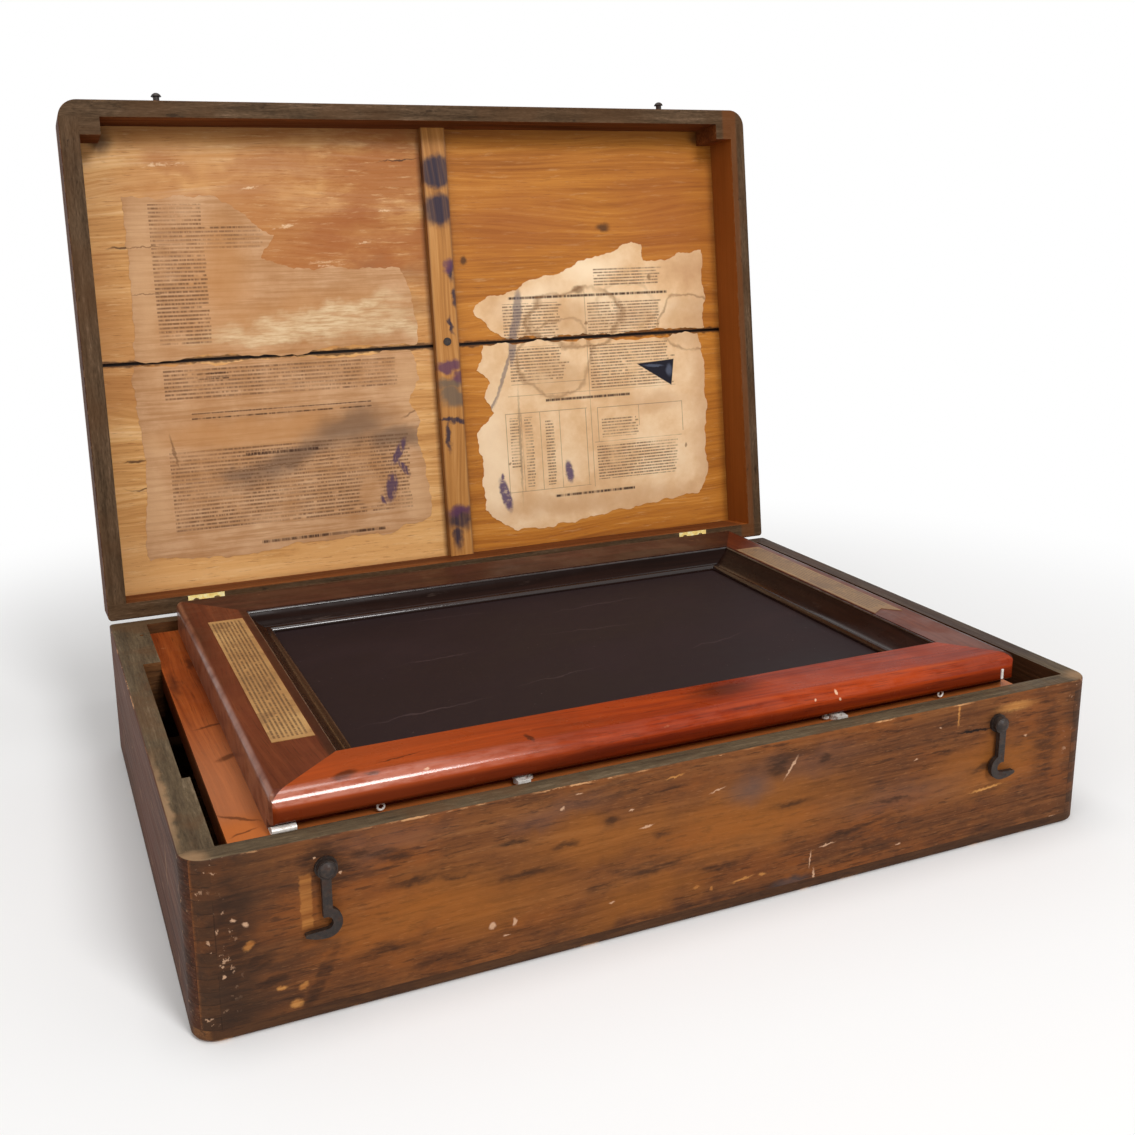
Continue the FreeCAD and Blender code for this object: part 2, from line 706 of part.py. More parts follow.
# Hooks, drawn hanging with the pivot at the origin of the XZ plane
wall_front = -half_depth
hook_back_y = wall_front - hook_plate_thickness
hook_front_y = hook_back_y - hook_thickness


def hook_shape():
    shank_left = hook_shank_offset - hook_shank_width / 2
    shank_right = hook_shank_offset + hook_shank_width / 2
    tx, tz, tr = hook_throat_x, hook_throat_z, hook_throat_radius
    rise = math.sqrt(hook_outer_radius ** 2 - (shank_right - tx) ** 2)

    def at(x, z):
        return V(x, hook_front_y, z)

    a = at(shank_left, tz + tr)
    b = at(tx, tz + tr)
    c = at(tx, tz - tr)
    d = at(hook_tip_x + 1.2, tz - tr - 0.6)
    tip = at(hook_tip_x, tz - tr - 1.7)
    e = at(hook_tip_x + 1.0, tz - tr - 2.8)
    belly = at(hook_tip_x + 5.5, tz - tr - 4.4)
    f = at(tx, tz - hook_outer_radius)
    side = at(tx + hook_outer_radius, tz)
    g = at(shank_right, tz + rise)
    h = at(shank_right, -2)
    i = at(shank_left, -2)
    edges = [Part.makeLine(a, b), Part.Arc(b, at(tx + tr, tz), c).toShape(),
             Part.makeLine(c, d), Part.Arc(d, tip, e).toShape(),
             Part.Arc(e, belly, f).toShape(), Part.Arc(f, side, g).toShape(),
             Part.makeLine(g, h), Part.makeLine(h, i), Part.makeLine(i, a)]
    body = Part.Face(Part.Wire(edges)).extrude(V(0, hook_thickness, 0))
    body = body.fuse(to_back(0, 0, hook_front_y, hook_back_y, hook_eye_radius))
    body = body.cut(to_back(0, 0, hook_front_y, hook_back_y, hook_screw_radius + 0.08))
    return body.removeSplitter()


def moved_to(shape, x, z):
    placed = shape.copy()
    placed.translate(V(x, 0, z))
    return placed


left_hook = moved_to(hook_shape(), left_hook_x, left_hook_z)
right_hook = moved_to(mirrored(hook_shape()), right_hook_x, right_hook_z)


def round_head(x, z, y_face, radius, height):
    """Low dome whose flat side faces the box at y_face."""
    ball = (radius * radius + height * height) / (2 * height)
    turn = 0.5 * math.asin(radius / ball)
    centre = V(x, y_face, z)
    crown = V(x, y_face - height, z)
    rim = V(x + radius, y_face, z)
    middle = V(x + ball * math.sin(turn), y_face - height + ball * (1 - math.cos(turn)), z)
    edges = [Part.makeLine(centre, rim), Part.Arc(rim, middle, crown).toShape(),
             Part.makeLine(crown, centre)]
    return Part.Face(Part.Wire(edges)).revolve(centre, V(0, 1, 0), 360)


def hook_screw(x, z):
    face = hook_front_y - 0.2
    shank = to_back(x, z, face - 0.5, wall_front + hook_screw_depth, hook_screw_radius)
    return shank.fuse(round_head(x, z, face, hook_eye_radius - 0.6, 2.6)).removeSplitter()


def hook_plate(x, z):
    plate = to_back(x, z, hook_back_y + 0.15, wall_front, hook_plate_radius)
    return plate.cut(to_back(x, z, hook_back_y, wall_front, hook_screw_radius))


def lid_stud(x, z):
    face = hook_front_y - 0.4
    shank = to_back(x, z, face - 0.5, wall_front + hook_screw_depth, stud_radius)
    return shank.fuse(round_head(x, z, face, stud_head_radius, stud_head_height)).removeSplitter()


hook_screws = [hook_screw(left_hook_x, left_hook_z), hook_screw(right_hook_x, right_hook_z)]
hook_plates = [hook_plate(left_hook_x, left_hook_z), hook_plate(right_hook_x, right_hook_z)]
front = cut_all(front, hook_screws)
studs = [lid_stud(left_hook_x - hook_throat_x, left_hook_z - hook_throat_z),
         lid_stud(right_hook_x + hook_throat_x, right_hook_z - hook_throat_z)]
lid_front = cut_all(lid_front, studs)

# Stop tongues on the moving leaves rest against the back of the box while the lid is open
open_leaves = []
for index, side in enumerate((-1, 1)):
    mid = side * hinge_x
    third = hinge_length / 6 - hinge_side_gap
    tongue = box(mid - third, mid + third, half_depth + stop_gap,
                 half_depth + stop_gap + stop_tongue_thickness,
                 hinge_z - stop_tongue_length, hinge_z)
    tongue = tongue.cut(along_x(mid - third, mid + third, hinge_y, hinge_z,
                                hinge_pin_radius + hinge_play))
    leaf = cut_all(lid_leaves[index], lid_leaf_screws)
    open_leaves.append(open_lid(leaf).fuse(tongue).removeSplitter())

save("case_front_wall", front)
save("case_back_wall", back)
save("case_left_wall", left)
save("case_right_wall", right)
save("case_bottom_front", bottom_front)
save("case_bottom_back", bottom_back)
save("case_block_left_rear", left_rear_block)
save("case_block_left_front", left_front_block)
save("case_block_right", right_block)
save("case_cleat_front", front_cleat)
save("case_cleat_back", back_cleat)
for index, word in enumerate(("left", "right")):
    save("case_hinge_leaf_" + word, cut_all(case_leaves[index], case_leaf_screws))
    save("lid_hinge_leaf_" + word, open_leaves[index])
    save("frame_catch_" + word, catches[index])
save("bed_hinge_leaves", Part.makeCompound([cut_all(s, bed_leaf_screws) for s in bed_leaves]))
save("frame_hinge_leaves", Part.makeCompound([cut_all(s, frame_leaf_screws)
                                              for s in frame_leaves]))
save("hinge_pins", Part.makeCompound(lid_pins + frame_pins))
save("case_hinge_screws", Part.makeCompound(case_leaf_screws + bed_leaf_screws))
save("lid_hinge_screws", open_lid(Part.makeCompound(lid_leaf_screws)))
save("frame_hinge_screws", Part.makeCompound(frame_leaf_screws))
save("hook_washers", Part.makeCompound(hook_plates))
save("lid_studs", open_lid(Part.makeCompound(studs)))
save("wire_clips", Part.makeCompound(wire_clips))
save("bed_board", bed)
save("bed_blanket", blanket)
save("catch_pivot_screws", Part.makeCompound(pivot_screws))
save("bed_corner_clip", corner_clip)
save("catch_keepers", Part.makeCompound(keepers))
save("frame_front_rail", front_rail)
save("frame_front_sill", front_sill)
save("frame_back_rail", back_rail)
save("frame_left_stile", left_stile)
save("frame_right_stile", right_stile)
for index, word in enumerate(("front", "right", "back", "left")):
    save("well_moulding_" + word, mouldings[index])
save("diaphragm", diaphragm)
save("frame_label_left", label_left)
save("frame_label_right", label_right)
save("frame_front_strip", front_strip)
save("hook_left", left_hook)
save("hook_right", right_hook)
save("hook_screws", Part.makeCompound(hook_screws))
save("lid_front_wall", open_lid(lid_front))
save("lid_back_wall", open_lid(lid_back))
save("lid_left_wall", open_lid(lid_left))
save("lid_right_wall", open_lid(lid_right))
save("lid_board_front", open_lid(lid_front_board))
save("lid_board_back", open_lid(lid_back_board))
save("lid_nails", open_lid(Part.makeCompound(lid_nails)))
save("lid_batten", open_lid(batten))
save("lid_batten_screw", open_lid(batten_screw.removeSplitter()))
save("lid_block_left", open_lid(lid_block_left))
save("lid_block_right", open_lid(lid_block_right))
save("lid_sheet_left", open_lid(Part.makeCompound([sheet_left_upper, sheet_left_lower])))
save("lid_sheet_right", open_lid(Part.makeCompound([sheet_right_upper, sheet_right_lower])))
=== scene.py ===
import math
import random

import bmesh
import bpy
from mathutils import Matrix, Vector


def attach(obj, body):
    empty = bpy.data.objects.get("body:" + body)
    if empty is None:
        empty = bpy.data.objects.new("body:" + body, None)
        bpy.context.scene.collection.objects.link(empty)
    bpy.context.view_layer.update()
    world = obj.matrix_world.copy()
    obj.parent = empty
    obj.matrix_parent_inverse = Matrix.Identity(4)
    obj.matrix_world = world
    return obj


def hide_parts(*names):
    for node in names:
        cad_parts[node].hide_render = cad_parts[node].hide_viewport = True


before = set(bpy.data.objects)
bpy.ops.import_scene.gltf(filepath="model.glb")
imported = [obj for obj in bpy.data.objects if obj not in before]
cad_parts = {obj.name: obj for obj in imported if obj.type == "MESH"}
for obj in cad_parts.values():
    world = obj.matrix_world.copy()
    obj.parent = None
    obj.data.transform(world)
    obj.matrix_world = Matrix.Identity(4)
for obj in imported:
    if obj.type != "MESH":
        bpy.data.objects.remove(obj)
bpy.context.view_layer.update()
scene = bpy.context.scene

# Camera at the photograph's viewing angle
camera_data = bpy.data.cameras.new("camera")
camera_data.sensor_width = 36.0
camera_data.lens = 39.689
camera_data.shift_x = 0.0337
camera_data.shift_y = -0.0675
camera = bpy.data.objects.new("camera", camera_data)
camera.location = (-0.34547, -0.76379, 0.41067)
camera.rotation_euler = (1.3427, 0.01302, -0.39945)
scene.collection.objects.link(camera)
scene.camera = camera
scene.view_settings.view_transform = "Standard"


def lin(code):
    """Linear colour of an sRGB hex code."""
    parts = [int(code[i:i + 2], 16) / 255 for i in (0, 2, 4)]
    return tuple(c / 12.92 if c <= 0.04045 else ((c + 0.055) / 1.055) ** 2.4 for c in parts) + (1.0,)


# The open lid leans back by this angle from the closed position
LID_AXIS = (0.0, 0.1955, 0.10115)
LID_TURN = math.radians(97.6)
LID_UP = (0.0, -math.cos(LID_TURN), math.sin(LID_TURN))
LID_OUT = (0.0, math.sin(LID_TURN), math.cos(LID_TURN))


def add_node(tree, kind, inputs, **props):
    """A new node with these properties, its inputs linked or set."""
    made = tree.nodes.new(kind)
    for key, value in props.items():
        setattr(made, key, value)
    for key, value in inputs.items():
        if isinstance(value, bpy.types.NodeSocket):
            tree.links.new(value, made.inputs[key])
        else:
            made.inputs[key].default_value = value
    return made


class Paint:
    """A node material whose colours and masks come from the object's own coordinates."""

    def __init__(self, name, **sockets):
        self.material = bpy.data.materials.new(name)
        self.material.use_nodes = True
        self.tree = self.material.node_tree
        self.tree.nodes.clear()
        self.out = self.tree.nodes.new("ShaderNodeOutputMaterial")
        self.shader = self.add("ShaderNodeBsdfPrincipled", {})
        self.tree.links.new(self.shader.outputs[0], self.out.inputs[0])
        for key, value in sockets.items():
            self.shader.inputs[key.replace("_", " ")].default_value = value
        self.source = self.tree.nodes.new("ShaderNodeTexCoord")
        self.co = self.source.outputs["Object"]
        self.x, self.y, self.z = self.split(self.co)

    def add(self, kind, inputs, **props):
        return add_node(self.tree, kind, inputs, **props)

    def math(self, kind, a, b=0.0, c=0.0):
        return self.add("ShaderNodeMath", {0: a, 1: b, 2: c}, operation=kind).outputs[0]

    def vmath(self, kind, output, inputs):
        return self.add("ShaderNodeVectorMath", inputs, operation=kind).outputs[output]

    def vec(self, a, b, c):
        return self.add("ShaderNodeCombineXYZ", {0: a, 1: b, 2: c}).outputs[0]

    def split(self, vector):
        return tuple(self.add("ShaderNodeSeparateXYZ", {0: vector}).outputs)

    def absolute(self, value):
        return self.math("ABSOLUTE", value)

    def inverse(self, mask):
        return self.math("SUBTRACT", 1.0, mask)

    def mixed(self, a, share_a, b, share_b):
        return self.math("MULTIPLY_ADD", a, share_a, self.math("MULTIPLY", b, share_b))

    def dot(self, vector, way):
        return self.vmath("DOT_PRODUCT", "Value", {0: vector, 1: way})

    def lid(self):
        """Coordinates on the open lid: x, height above its hinge, depth from its rim."""
        here = self.vmath("SUBTRACT", 0, {0: self.co, 1: LID_AXIS})
        return self.x, self.dot(here, LID_UP), self.dot(here, LID_OUT)

    def scaled(self, vector, scale, offset=(0, 0, 0)):
        return self.vmath("MULTIPLY_ADD", 0, {0: vector, 1: scale, 2: offset})

    def noise(self, vector, scale=1.0, detail=4.0, rough=0.55):
        return self.add("ShaderNodeTexNoise", {"Vector": vector, "Scale": scale, "Detail": detail,
            "Roughness": rough}).outputs[0]

    def stretched(self, vector, scale, detail, rough=0.55, offset=(0, 0, 0)):
        """Noise with its own scale along each axis."""
        return self.noise(self.scaled(vector, scale, offset), 1.0, detail, rough)

    def step(self, value, low, high, to_low=0.0, to_high=1.0):
        """Smooth change from to_low to to_high as value goes from low to high."""
        node = self.add("ShaderNodeMapRange", {0: value, 1: low, 2: high, 3: to_low, 4: to_high},
            interpolation_type="SMOOTHSTEP")
        return node.outputs[0]

    def both(self, *masks):
        result = masks[0]
        for mask in masks[1:]:
            result = self.math("MULTIPLY", result, mask)
        return result

    def either(self, *masks):
        result = masks[0]
        for mask in masks[1:]:
            result = self.math("MAXIMUM", result, mask)
        return result

    def span(self, value, low, high, soft):
        return self.both(self.step(value, low - soft, low + soft), self.step(value, high - soft,
            high + soft, 1, 0))

    def blend(self, fac, a, b):
        return self.add("ShaderNodeMix", {0: fac, 6: a, 7: b}, data_type="RGBA",
            blend_type="MIX").outputs[2]

    def stain(self, colour, code, mask, amount=None):
        """The colour with a hex code laid over it where the mask is, at this strength."""
        if amount is not None:
            mask = self.math("MULTIPLY", mask, amount)
        return self.blend(mask, colour, lin(code))

    def ramp(self, value, *stops):
        node = self.add("ShaderNodeValToRGB", {0: value})
        bar = node.color_ramp.elements
        bar.remove(bar[1])
        bar[0].position = stops[0][0]
        bar[0].color = lin(stops[0][1])
        for place, code in stops[1:]:
            bar.new(place).color = lin(code)
        return node.outputs[0]

    def ellipse(self, place, u, v, ru, rv, turn=0, third=1):
        """Distance from the middle of an ellipse, in its own radii; its measures are millimetres."""
        mapped = self.add("ShaderNodeMapping", {0: place, 1: (u / 1e3, v / 1e3, 0), 2: (0, 0,
            math.radians(turn)), 3: (ru / 1e3, rv / 1e3, third)}, vector_type="TEXTURE").outputs[0]
        return self.vmath("LENGTH", "Value", {0: mapped})

    def spots(self, plane, places):
        """All the ellipses (u, v, ru, rv, turn, soft), in millimetres, as one mask.

        Each one takes the mask so far as a third coordinate, which its mapping scales away. That
        puts them in order, so that the renderer never has to hold them all at once.
        """
        flat_u, flat_v, _ = self.split(plane)
        mask = 0.0
        for u, v, ru, rv, turn, soft in places:
            here = self.vec(flat_u, flat_v, mask)
            far = self.ellipse(here, u, v, ru, rv, turn, 1e6)
            mark = self.step(far, 1 - soft, 1 + soft, 1, 0)
            mask = self.math("MAXIMUM", mark, mask)
        return mask

    def ring(self, plane, u, v, ru, rv, width):
        """Thin ellipse outline, in millimetres."""
        far = self.ellipse(plane, u, v, ru, rv)
        off = self.absolute(self.math("SUBTRACT", far, 1.0))
        return self.step(off, 0.0, width / min(ru, rv), 1, 0)

    def shaken(self, vector, size, scale, detail=3.0):
        """The vector moved about by noise, so that what is drawn with it has ragged edges."""
        cloud = self.add("ShaderNodeTexNoise", {"Vector": vector, "Scale": scale,
            "Detail": detail}).outputs[1]
        centred = self.vmath("SUBTRACT", 0, {0: cloud, 1: (0.5, 0.5, 0.5)})
        return self.vmath("MULTIPLY_ADD", 0, {0: centred, 1: (size, size, size), 2: vector})

    def finish(self, colour, rough=None, height=None, strength=0.4, distance=0.0006, **linked):
        self.tree.links.new(colour, self.shader.inputs["Base Color"])
        if rough is not None:
            self.tree.links.new(rough, self.shader.inputs["Roughness"])
        if height is not None:
            bump = self.add("ShaderNodeBump", {"Strength": strength, "Distance": distance,
                "Height": height})
            self.tree.links.new(bump.outputs[0], self.shader.inputs["Normal"])
        for key, value in linked.items():
            self.tree.links.new(value, self.shader.inputs[key.replace("_", " ")])
        return self.material


def dress(material, *names):
    """Give the named nodes this material in every slot."""
    for name in names:
        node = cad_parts[name]
        if not node.data.materials:
            node.data.materials.append(material)
        for place in range(len(node.data.materials)):
            node.data.materials[place] = material


# The box in metres: half its outside, the inside of its walls, and its rim
HALF_WIDTH, HALF_DEPTH = 0.292, 0.1943
INNER_X, INNER_Y = 0.278, 0.1818
BOX_TOP = 0.101
BOTTOM_BOARD = 0.007
FINGER_PITCH = (BOX_TOP - BOTTOM_BOARD) / 13
HAIR = 0.0001


def faces_front(p):
    """Mask of the front face of the box."""
    return p.step(p.y, -0.190, -0.1915)


def grain_of(p, along, across, depth, wave=1.0):
    """Three scales of wood figure on a board: broad bands, fibres and pores, each about 0 to 1."""
    wood = p.vec(along, across, depth)
    bend = p.stretched(wood, (2.2, 9, 9), 2.0)
    lifted = p.math("MULTIPLY_ADD", bend, 0.05 * wave, across)
    flow = p.vec(along, lifted, depth)
    bands = p.stretched(flow, (3.2, 62, 62), 3.0, 0.5)
    fibres = p.stretched(flow, (11, 420, 420), 4.0, 0.6)
    pores = p.stretched(flow, (42, 1500, 1500), 2.0, 0.5)
    return bands, fibres, pores


# Worn stained wood of the box; the side tones are a darker copy of the front tones, painted shade
FRONT_TONES = ((0.3, "432818"), (0.44, "623a20"), (0.57, "784926"), (0.73, "8c5c34"))
SHADED_SIDE_TONES = ((0.3, "2f1a10"), (0.44, "452515"), (0.57, "532e1b"), (0.73, "693e24"))
INNER_TONES = ((0.3, "3a2416"), (0.45, "5b3a21"), (0.57, "70492a"), (0.73, "8a5f38"))


def stained_wood(p, along, across, depth, tones, warm, mask=None, other=None, other_warm=None):
    """Figure, dashes and worn patches of old stained softwood; the other look is where the mask is."""
    bands, fibres, _ = grain_of(p, along, across, depth)
    wood = p.vec(along, across, depth)
    tone = p.mixed(fibres, 0.5, bands, 0.5)
    c = p.ramp(tone, *tones)
    worn = lin(warm)
    if mask is not None:
        c = p.blend(mask, c, p.ramp(tone, *other))
        worn = p.blend(mask, worn, lin(other_warm))
    patches = p.step(p.stretched(wood, (9, 24, 24), 4.0, 0.6), 0.44, 0.64)
    c = p.blend(p.math("MULTIPLY", patches, 0.6), c, worn)
    grime = p.step(p.stretched(wood, (14, 60, 60), 5.0, 0.7, offset=(3, 7, 1)), 0.54, 0.7)
    c = p.stain(c, "3a281e", grime, 0.6)
    mottle = p.step(p.stretched(wood, (55, 130, 130), 5.0, 0.7, offset=(8, 1, 4)), 0.46, 0.66)
    c = p.stain(c, "43291b", mottle, 0.42)
    dashes = p.step(p.stretched(wood, (60, 480, 480), 4.0, 0.65), 0.53, 0.66)
    c = p.stain(c, "2e1d14", dashes, 0.6)
    flecks = p.step(p.stretched(wood, (150, 1400, 1400), 2.0, 0.5, offset=(1, 2, 3)), 0.6, 0.74)
    c = p.stain(c, "a87448", flecks, 0.35)
    return c, fibres


def worn_edges(p, colour, ragged, pale="cf9c6c"):
    """Pale broken wear along the top front and top side edges and the foot of the box."""
    sx, sy, sz = p.split(ragged)
    front = p.step(sy, 0.00065 - HALF_DEPTH, 0.00035 - HALF_DEPTH)
    side = p.step(p.absolute(sx), HALF_WIDTH - 0.00065, HALF_WIDTH - 0.00035)
    top = p.step(sz, BOX_TOP - 0.0012, BOX_TOP - 0.0007)
    foot = p.step(sz, 0.0020, 0.0007)
    chips = p.step(p.stretched(p.co, (60, 60, 200), 5.0, 0.7), 0.47, 0.55)
    elsewhere = p.scaled(p.co, (1, 1, 1), (5, 2, 8))
    long = p.step(p.noise(elsewhere, 17.0, 3.0, 0.6), 0.46, 0.56)
    rare = p.step(p.noise(elsewhere, 46.0, 4.0, 0.6), 0.53, 0.6)
    edge = p.both(p.either(p.both(front, top), p.both(side, top)), chips, long)
    low = p.both(foot, chips, rare)
    return p.blend(p.math("MULTIPLY", p.either(edge, low), 0.75), colour, lin(pale))


def rim_colour(p, colour, along, across):
    """Grey weathered wood on the upward faces near the top of the box."""
    up = p.split(p.source.outputs["Normal"])[2]
    on_top = p.both(p.step(up, 0.75, 0.95), p.step(p.z, 0.0993, 0.0999))
    wood = p.vec(along, across, p.z)
    streak = p.stretched(wood, (14, 170, 14), 5.0, 0.65)
    fuzz = p.stretched(wood, (160, 900, 14), 4.0, 0.65)
    tone = p.mixed(fuzz, 0.4, streak, 0.6)
    moss = p.ramp(tone, (0.3, "2b2218"), (0.45, "4b3e2e"), (0.57, "5e4f3b"), (0.72, "82705a"))
    brown = p.step(p.noise(p.co, 19.0, 4.0, 0.6), 0.48, 0.62)
    moss = p.stain(moss, "5c4029", brown, 0.5)
    # painted shade on the inner edge of the right rim, beside the frame
    right_rim_shade = p.both(p.step(p.x, 0.274, 0.280), p.step(p.y, -0.175, -0.12))
    moss = p.stain(moss, "3c2d2b", right_rim_shade, 0.65)
    tan = p.spots(p.shaken(p.vec(p.x, p.y, 0.0), 0.010, 90.0, 4.0), [(-287, -190, 8, 6, 0, .6),
        (287, -187, 9, 7, 0, .7), (-291, -120, 3, 50, 0, .6)])
    moss = p.stain(moss, "a5825f", tan, 0.6)
    return p.blend(on_top, colour, moss)


def finger_joints(p, colour, on_front):
    """Faint end grain and seams of the comb joints at the box corners."""
    place = p.math("DIVIDE", p.math("SUBTRACT", p.z, BOTTOM_BOARD), FINGER_PITCH)
    near_front = p.step(p.absolute(p.x), INNER_X - HAIR, INNER_X + HAIR)
    near_side = p.step(p.absolute(p.y), INNER_Y - HAIR, INNER_Y + HAIR)
    zone = p.math("ADD", p.both(on_front, near_front), p.both(p.inverse(on_front), near_side))
    off = p.absolute(p.math("SUBTRACT", p.math("FRACT", place), 0.5))
    broken = p.step(p.noise(p.co, 60.0, 4.0, 0.6), 0.42, 0.55)
    seam = p.both(p.step(off, 0.455, 0.485), zone, broken)
    seam_end = p.both(p.span(p.absolute(p.x), INNER_X - 3 * HAIR, INNER_X + 3 * HAIR, 2 * HAIR), on_front,
        broken)
    odd = p.math("MODULO", p.math("FLOOR", place), 2.0)
    end_grain = p.absolute(p.math("SUBTRACT", p.math("ADD", odd, on_front), 1.0))
    shade = p.both(end_grain, zone)
    c = p.stain(colour, "2a1c14", shade, 0.22)
    return p.stain(c, "1a110c", p.either(seam, seam_end), 0.45)


def front_marks(p, c, fibres):
    """Stains, bare patches and chips of the front wall; places are (x, z) in millimetres."""
    plane = p.vec(p.x, p.z, 0.0)
    ragged = p.shaken(plane, 0.007, 130.0, 5.0)
    fine = p.shaken(plane, 0.0030, 420.0, 4.0)
    face = faces_front(p)
    dim = p.either(p.step(p.x, -0.228, -0.272, 0, 0.8), p.step(p.x, 0.262, 0.287, 0, 0.75))
    c = p.stain(c, "33261d", p.both(dim, face, p.step(p.noise(p.co, 30.0, 5.0, 0.65), 0.3, 0.6, 0.55, 1.0)))
    c = p.stain(c, "2f2018", p.both(p.step(p.z, 0.022, 0.004, 0, 0.6), p.step(p.noise(p.co, 24.0, 4.0, 0.6),
        0.4, 0.6)))
    mauve = p.spots(p.shaken(plane, 0.03, 40.0, 4.0), [(-190, 92, 30, 8, 0, .8), (-95, 88, 26, 7, 0, .8),
        (60, 84, 40, 9, 0, .8), (150, 50, 50, 9, 0, .8)])
    c = p.stain(c, "6b4a3c", p.both(mauve, face), 0.4)
    warm = p.spots(p.shaken(plane, 0.04, 40.0, 4.0), [(-150, 45, 60, 20, 0, .8), (30, 58, 60, 22, 0, .8),
        (-60, 66, 45, 14, 0, .8), (210, 55, 40, 16, 0, .8), (-40, 22, 40, 9, 4, .8)])
    c = p.stain(c, "9a5c22", p.both(warm, face), 0.5)
    dark = p.spots(ragged, [(-221, 87, 11, 11, 0, .5), (-228, 91, 8, 5, 20, .5), (-213, 79, 7, 5, 0, .6),
        (-257, 40, 7, 5, 20, .4), (-251, 27, 8, 3, 10, .4), (-198, 87, 16, 3, -6, .5),
        (-185, 82, 9, 2.5, 0, .5), (-172, 65, 16, 2.4, 3, .6), (-150, 62, 10, 1.6, -3, .6),
        (49, 86, 9, 7, 0, .6), (82, 85, 5, 3.2, 10, .4), (137, 46, 20, 1.8, -6, .5),
        (103, 33, 18, 2.4, 6, .7), (213, 83, 8, 7, 0, .5), (205, 54, 12, 2.4, 0, .7),
        (-112, 54, 18, 2.4, 0, .8), (-30, 38, 16, 2.4, 4, .8), (-226, 23, 3, 17, -28, .5),
        (60, 60, 12, 2.4, 0, .8), (256, 60, 9, 28, 0, .8), (-270, 55, 9, 40, 0, .8), (57, 8, 17, 4, 0, .7),
        (-190, 30, 18, 3, 5, .8), (-88, 66, 7, 2, 0, .6), (-60, 74, 4, 3, 0, .6), (-28, 60, 5, 2.6, 0, .6),
        (-66, 35, 9, 3, 5, .6), (10, 30, 11, 2.2, 4, .6), (-160, 16, 14, 2.6, 4, .7),
        (172, 70, 8, 2, 0, .6), (-120, 74, 8, 1.8, 0, .6)])
    torn_up = p.step(p.stretched(plane, (70, 300, 1), 4.0, 0.65), 0.36, 0.6, 0.3, 1.0)
    c = p.stain(c, "291c15", p.both(dark, torn_up, face), 0.72)
    c = p.stain(c, "1d1410", p.both(p.spots(fine, [(196, 81, 13, 0.8, -3, .4)]), face))
    blue = p.spots(ragged, [(60, 8, 12, 3.4, 0, .6), (30, 74, 12, 7, 0, .9)])
    c = p.stain(c, "45474b", p.both(blue, face), 0.4)
    fx, fz, _ = p.split(fine)
    rust = p.both(p.span(fx, -0.2352, -0.2292, 0.0006), p.span(fz, 0.052, 0.082, 0.0012))
    c = p.blend(p.math("MULTIPLY", p.both(rust, face), 0.75), c, p.ramp(fibres, (0.3, "7d471f"),
        (0.65, "b0743a")))
    bare = p.spots(fine, [(208, 39, 11, .8, 4, .5), (-240, 11, 3, 2.2, 0, .5), (-236, 20, 2.6, 1.6, 30, .5),
        (26, 18, 7, 0.7, 7, .5), (-5, 20, 2, .8, 0, .5), (5, 17, 1.2, 1.2, 0, .5),
        (228, 92, 13, 2.4, 0, .8), (182, 95, .7, 8, 0, .5), (-262, 50, 3, 1.8, 30, .5),
        (-247, 22, 2.4, 1.2, 0, .5), (40, 18, 2.4, 1, 0, .5), (-20, 93, 5, .6, 6, .5)])
    c = p.blend(p.math("MULTIPLY", p.both(bare, face), 0.75), c, p.ramp(fibres, (0.3, "9d602d"),
        (0.65, "cf9350")))
    pale = p.spots(fine, [(-132, 28, 1.76, 2.08, 10, .4), (-119, 27, 1.12, 2.24, 0, .4),
        (-124, 20, 2.08, 0.48, 0, .4), (58, 83, 0.64, 6.8, -35, .5), (-269, 66, 1.44, 0.96, 0, .4),
        (-263, 62, 1.2, 1.76, 20, .4), (-275, 36, 0.88, 1.12, 0, .4), (-227, 90, 0.8, 0.72, 0, .4),
        (-214, 79, 0.72, 0.88, 0, .4), (8, 79, 4.4, 0.48, 14, .5), (-38, 66, 4, 0.48, 8, .5),
        (86, 27, 4.8, 0.48, 6, .5), (74, 20, 0.48, 4.8, -6, .5), (77, 8, 0.64, 4.8, 4, .5),
        (-80, 95, 1.92, 0.48, 0, .5), (-184, 4, 6.4, 0.72, 0, .5), (262, 6, 6.4, 0.64, 10, .5),
        (-90, 88, 1.12, 0.8, 0, .5), (168, 88, 0.96, 0.48, 0, .5), (150, 70, 1.6, 0.48, 20, .5),
        (-60, 24, 1.6, 0.48, 0, .5), (140, 15, 1.6, 0.56, 0, .5), (238, 70, 1.12, 0.64, 0, .5),
        (-48, 78, 1.6, 0.4, 20, .5)])
    ends = p.both(p.either(p.step(p.x, -0.264, -0.274), p.step(p.x, 0.2685, 0.276)), p.step(p.noise(p.co,
        230.0, 4.0, 0.65), 0.6, 0.64), p.step(p.noise(p.co, 38.0, 3.0), 0.45, 0.55))
    c = p.stain(c, "cba282", p.both(p.either(pale, p.math("MULTIPLY", ends, 0.75)), face), 0.8)
    return c


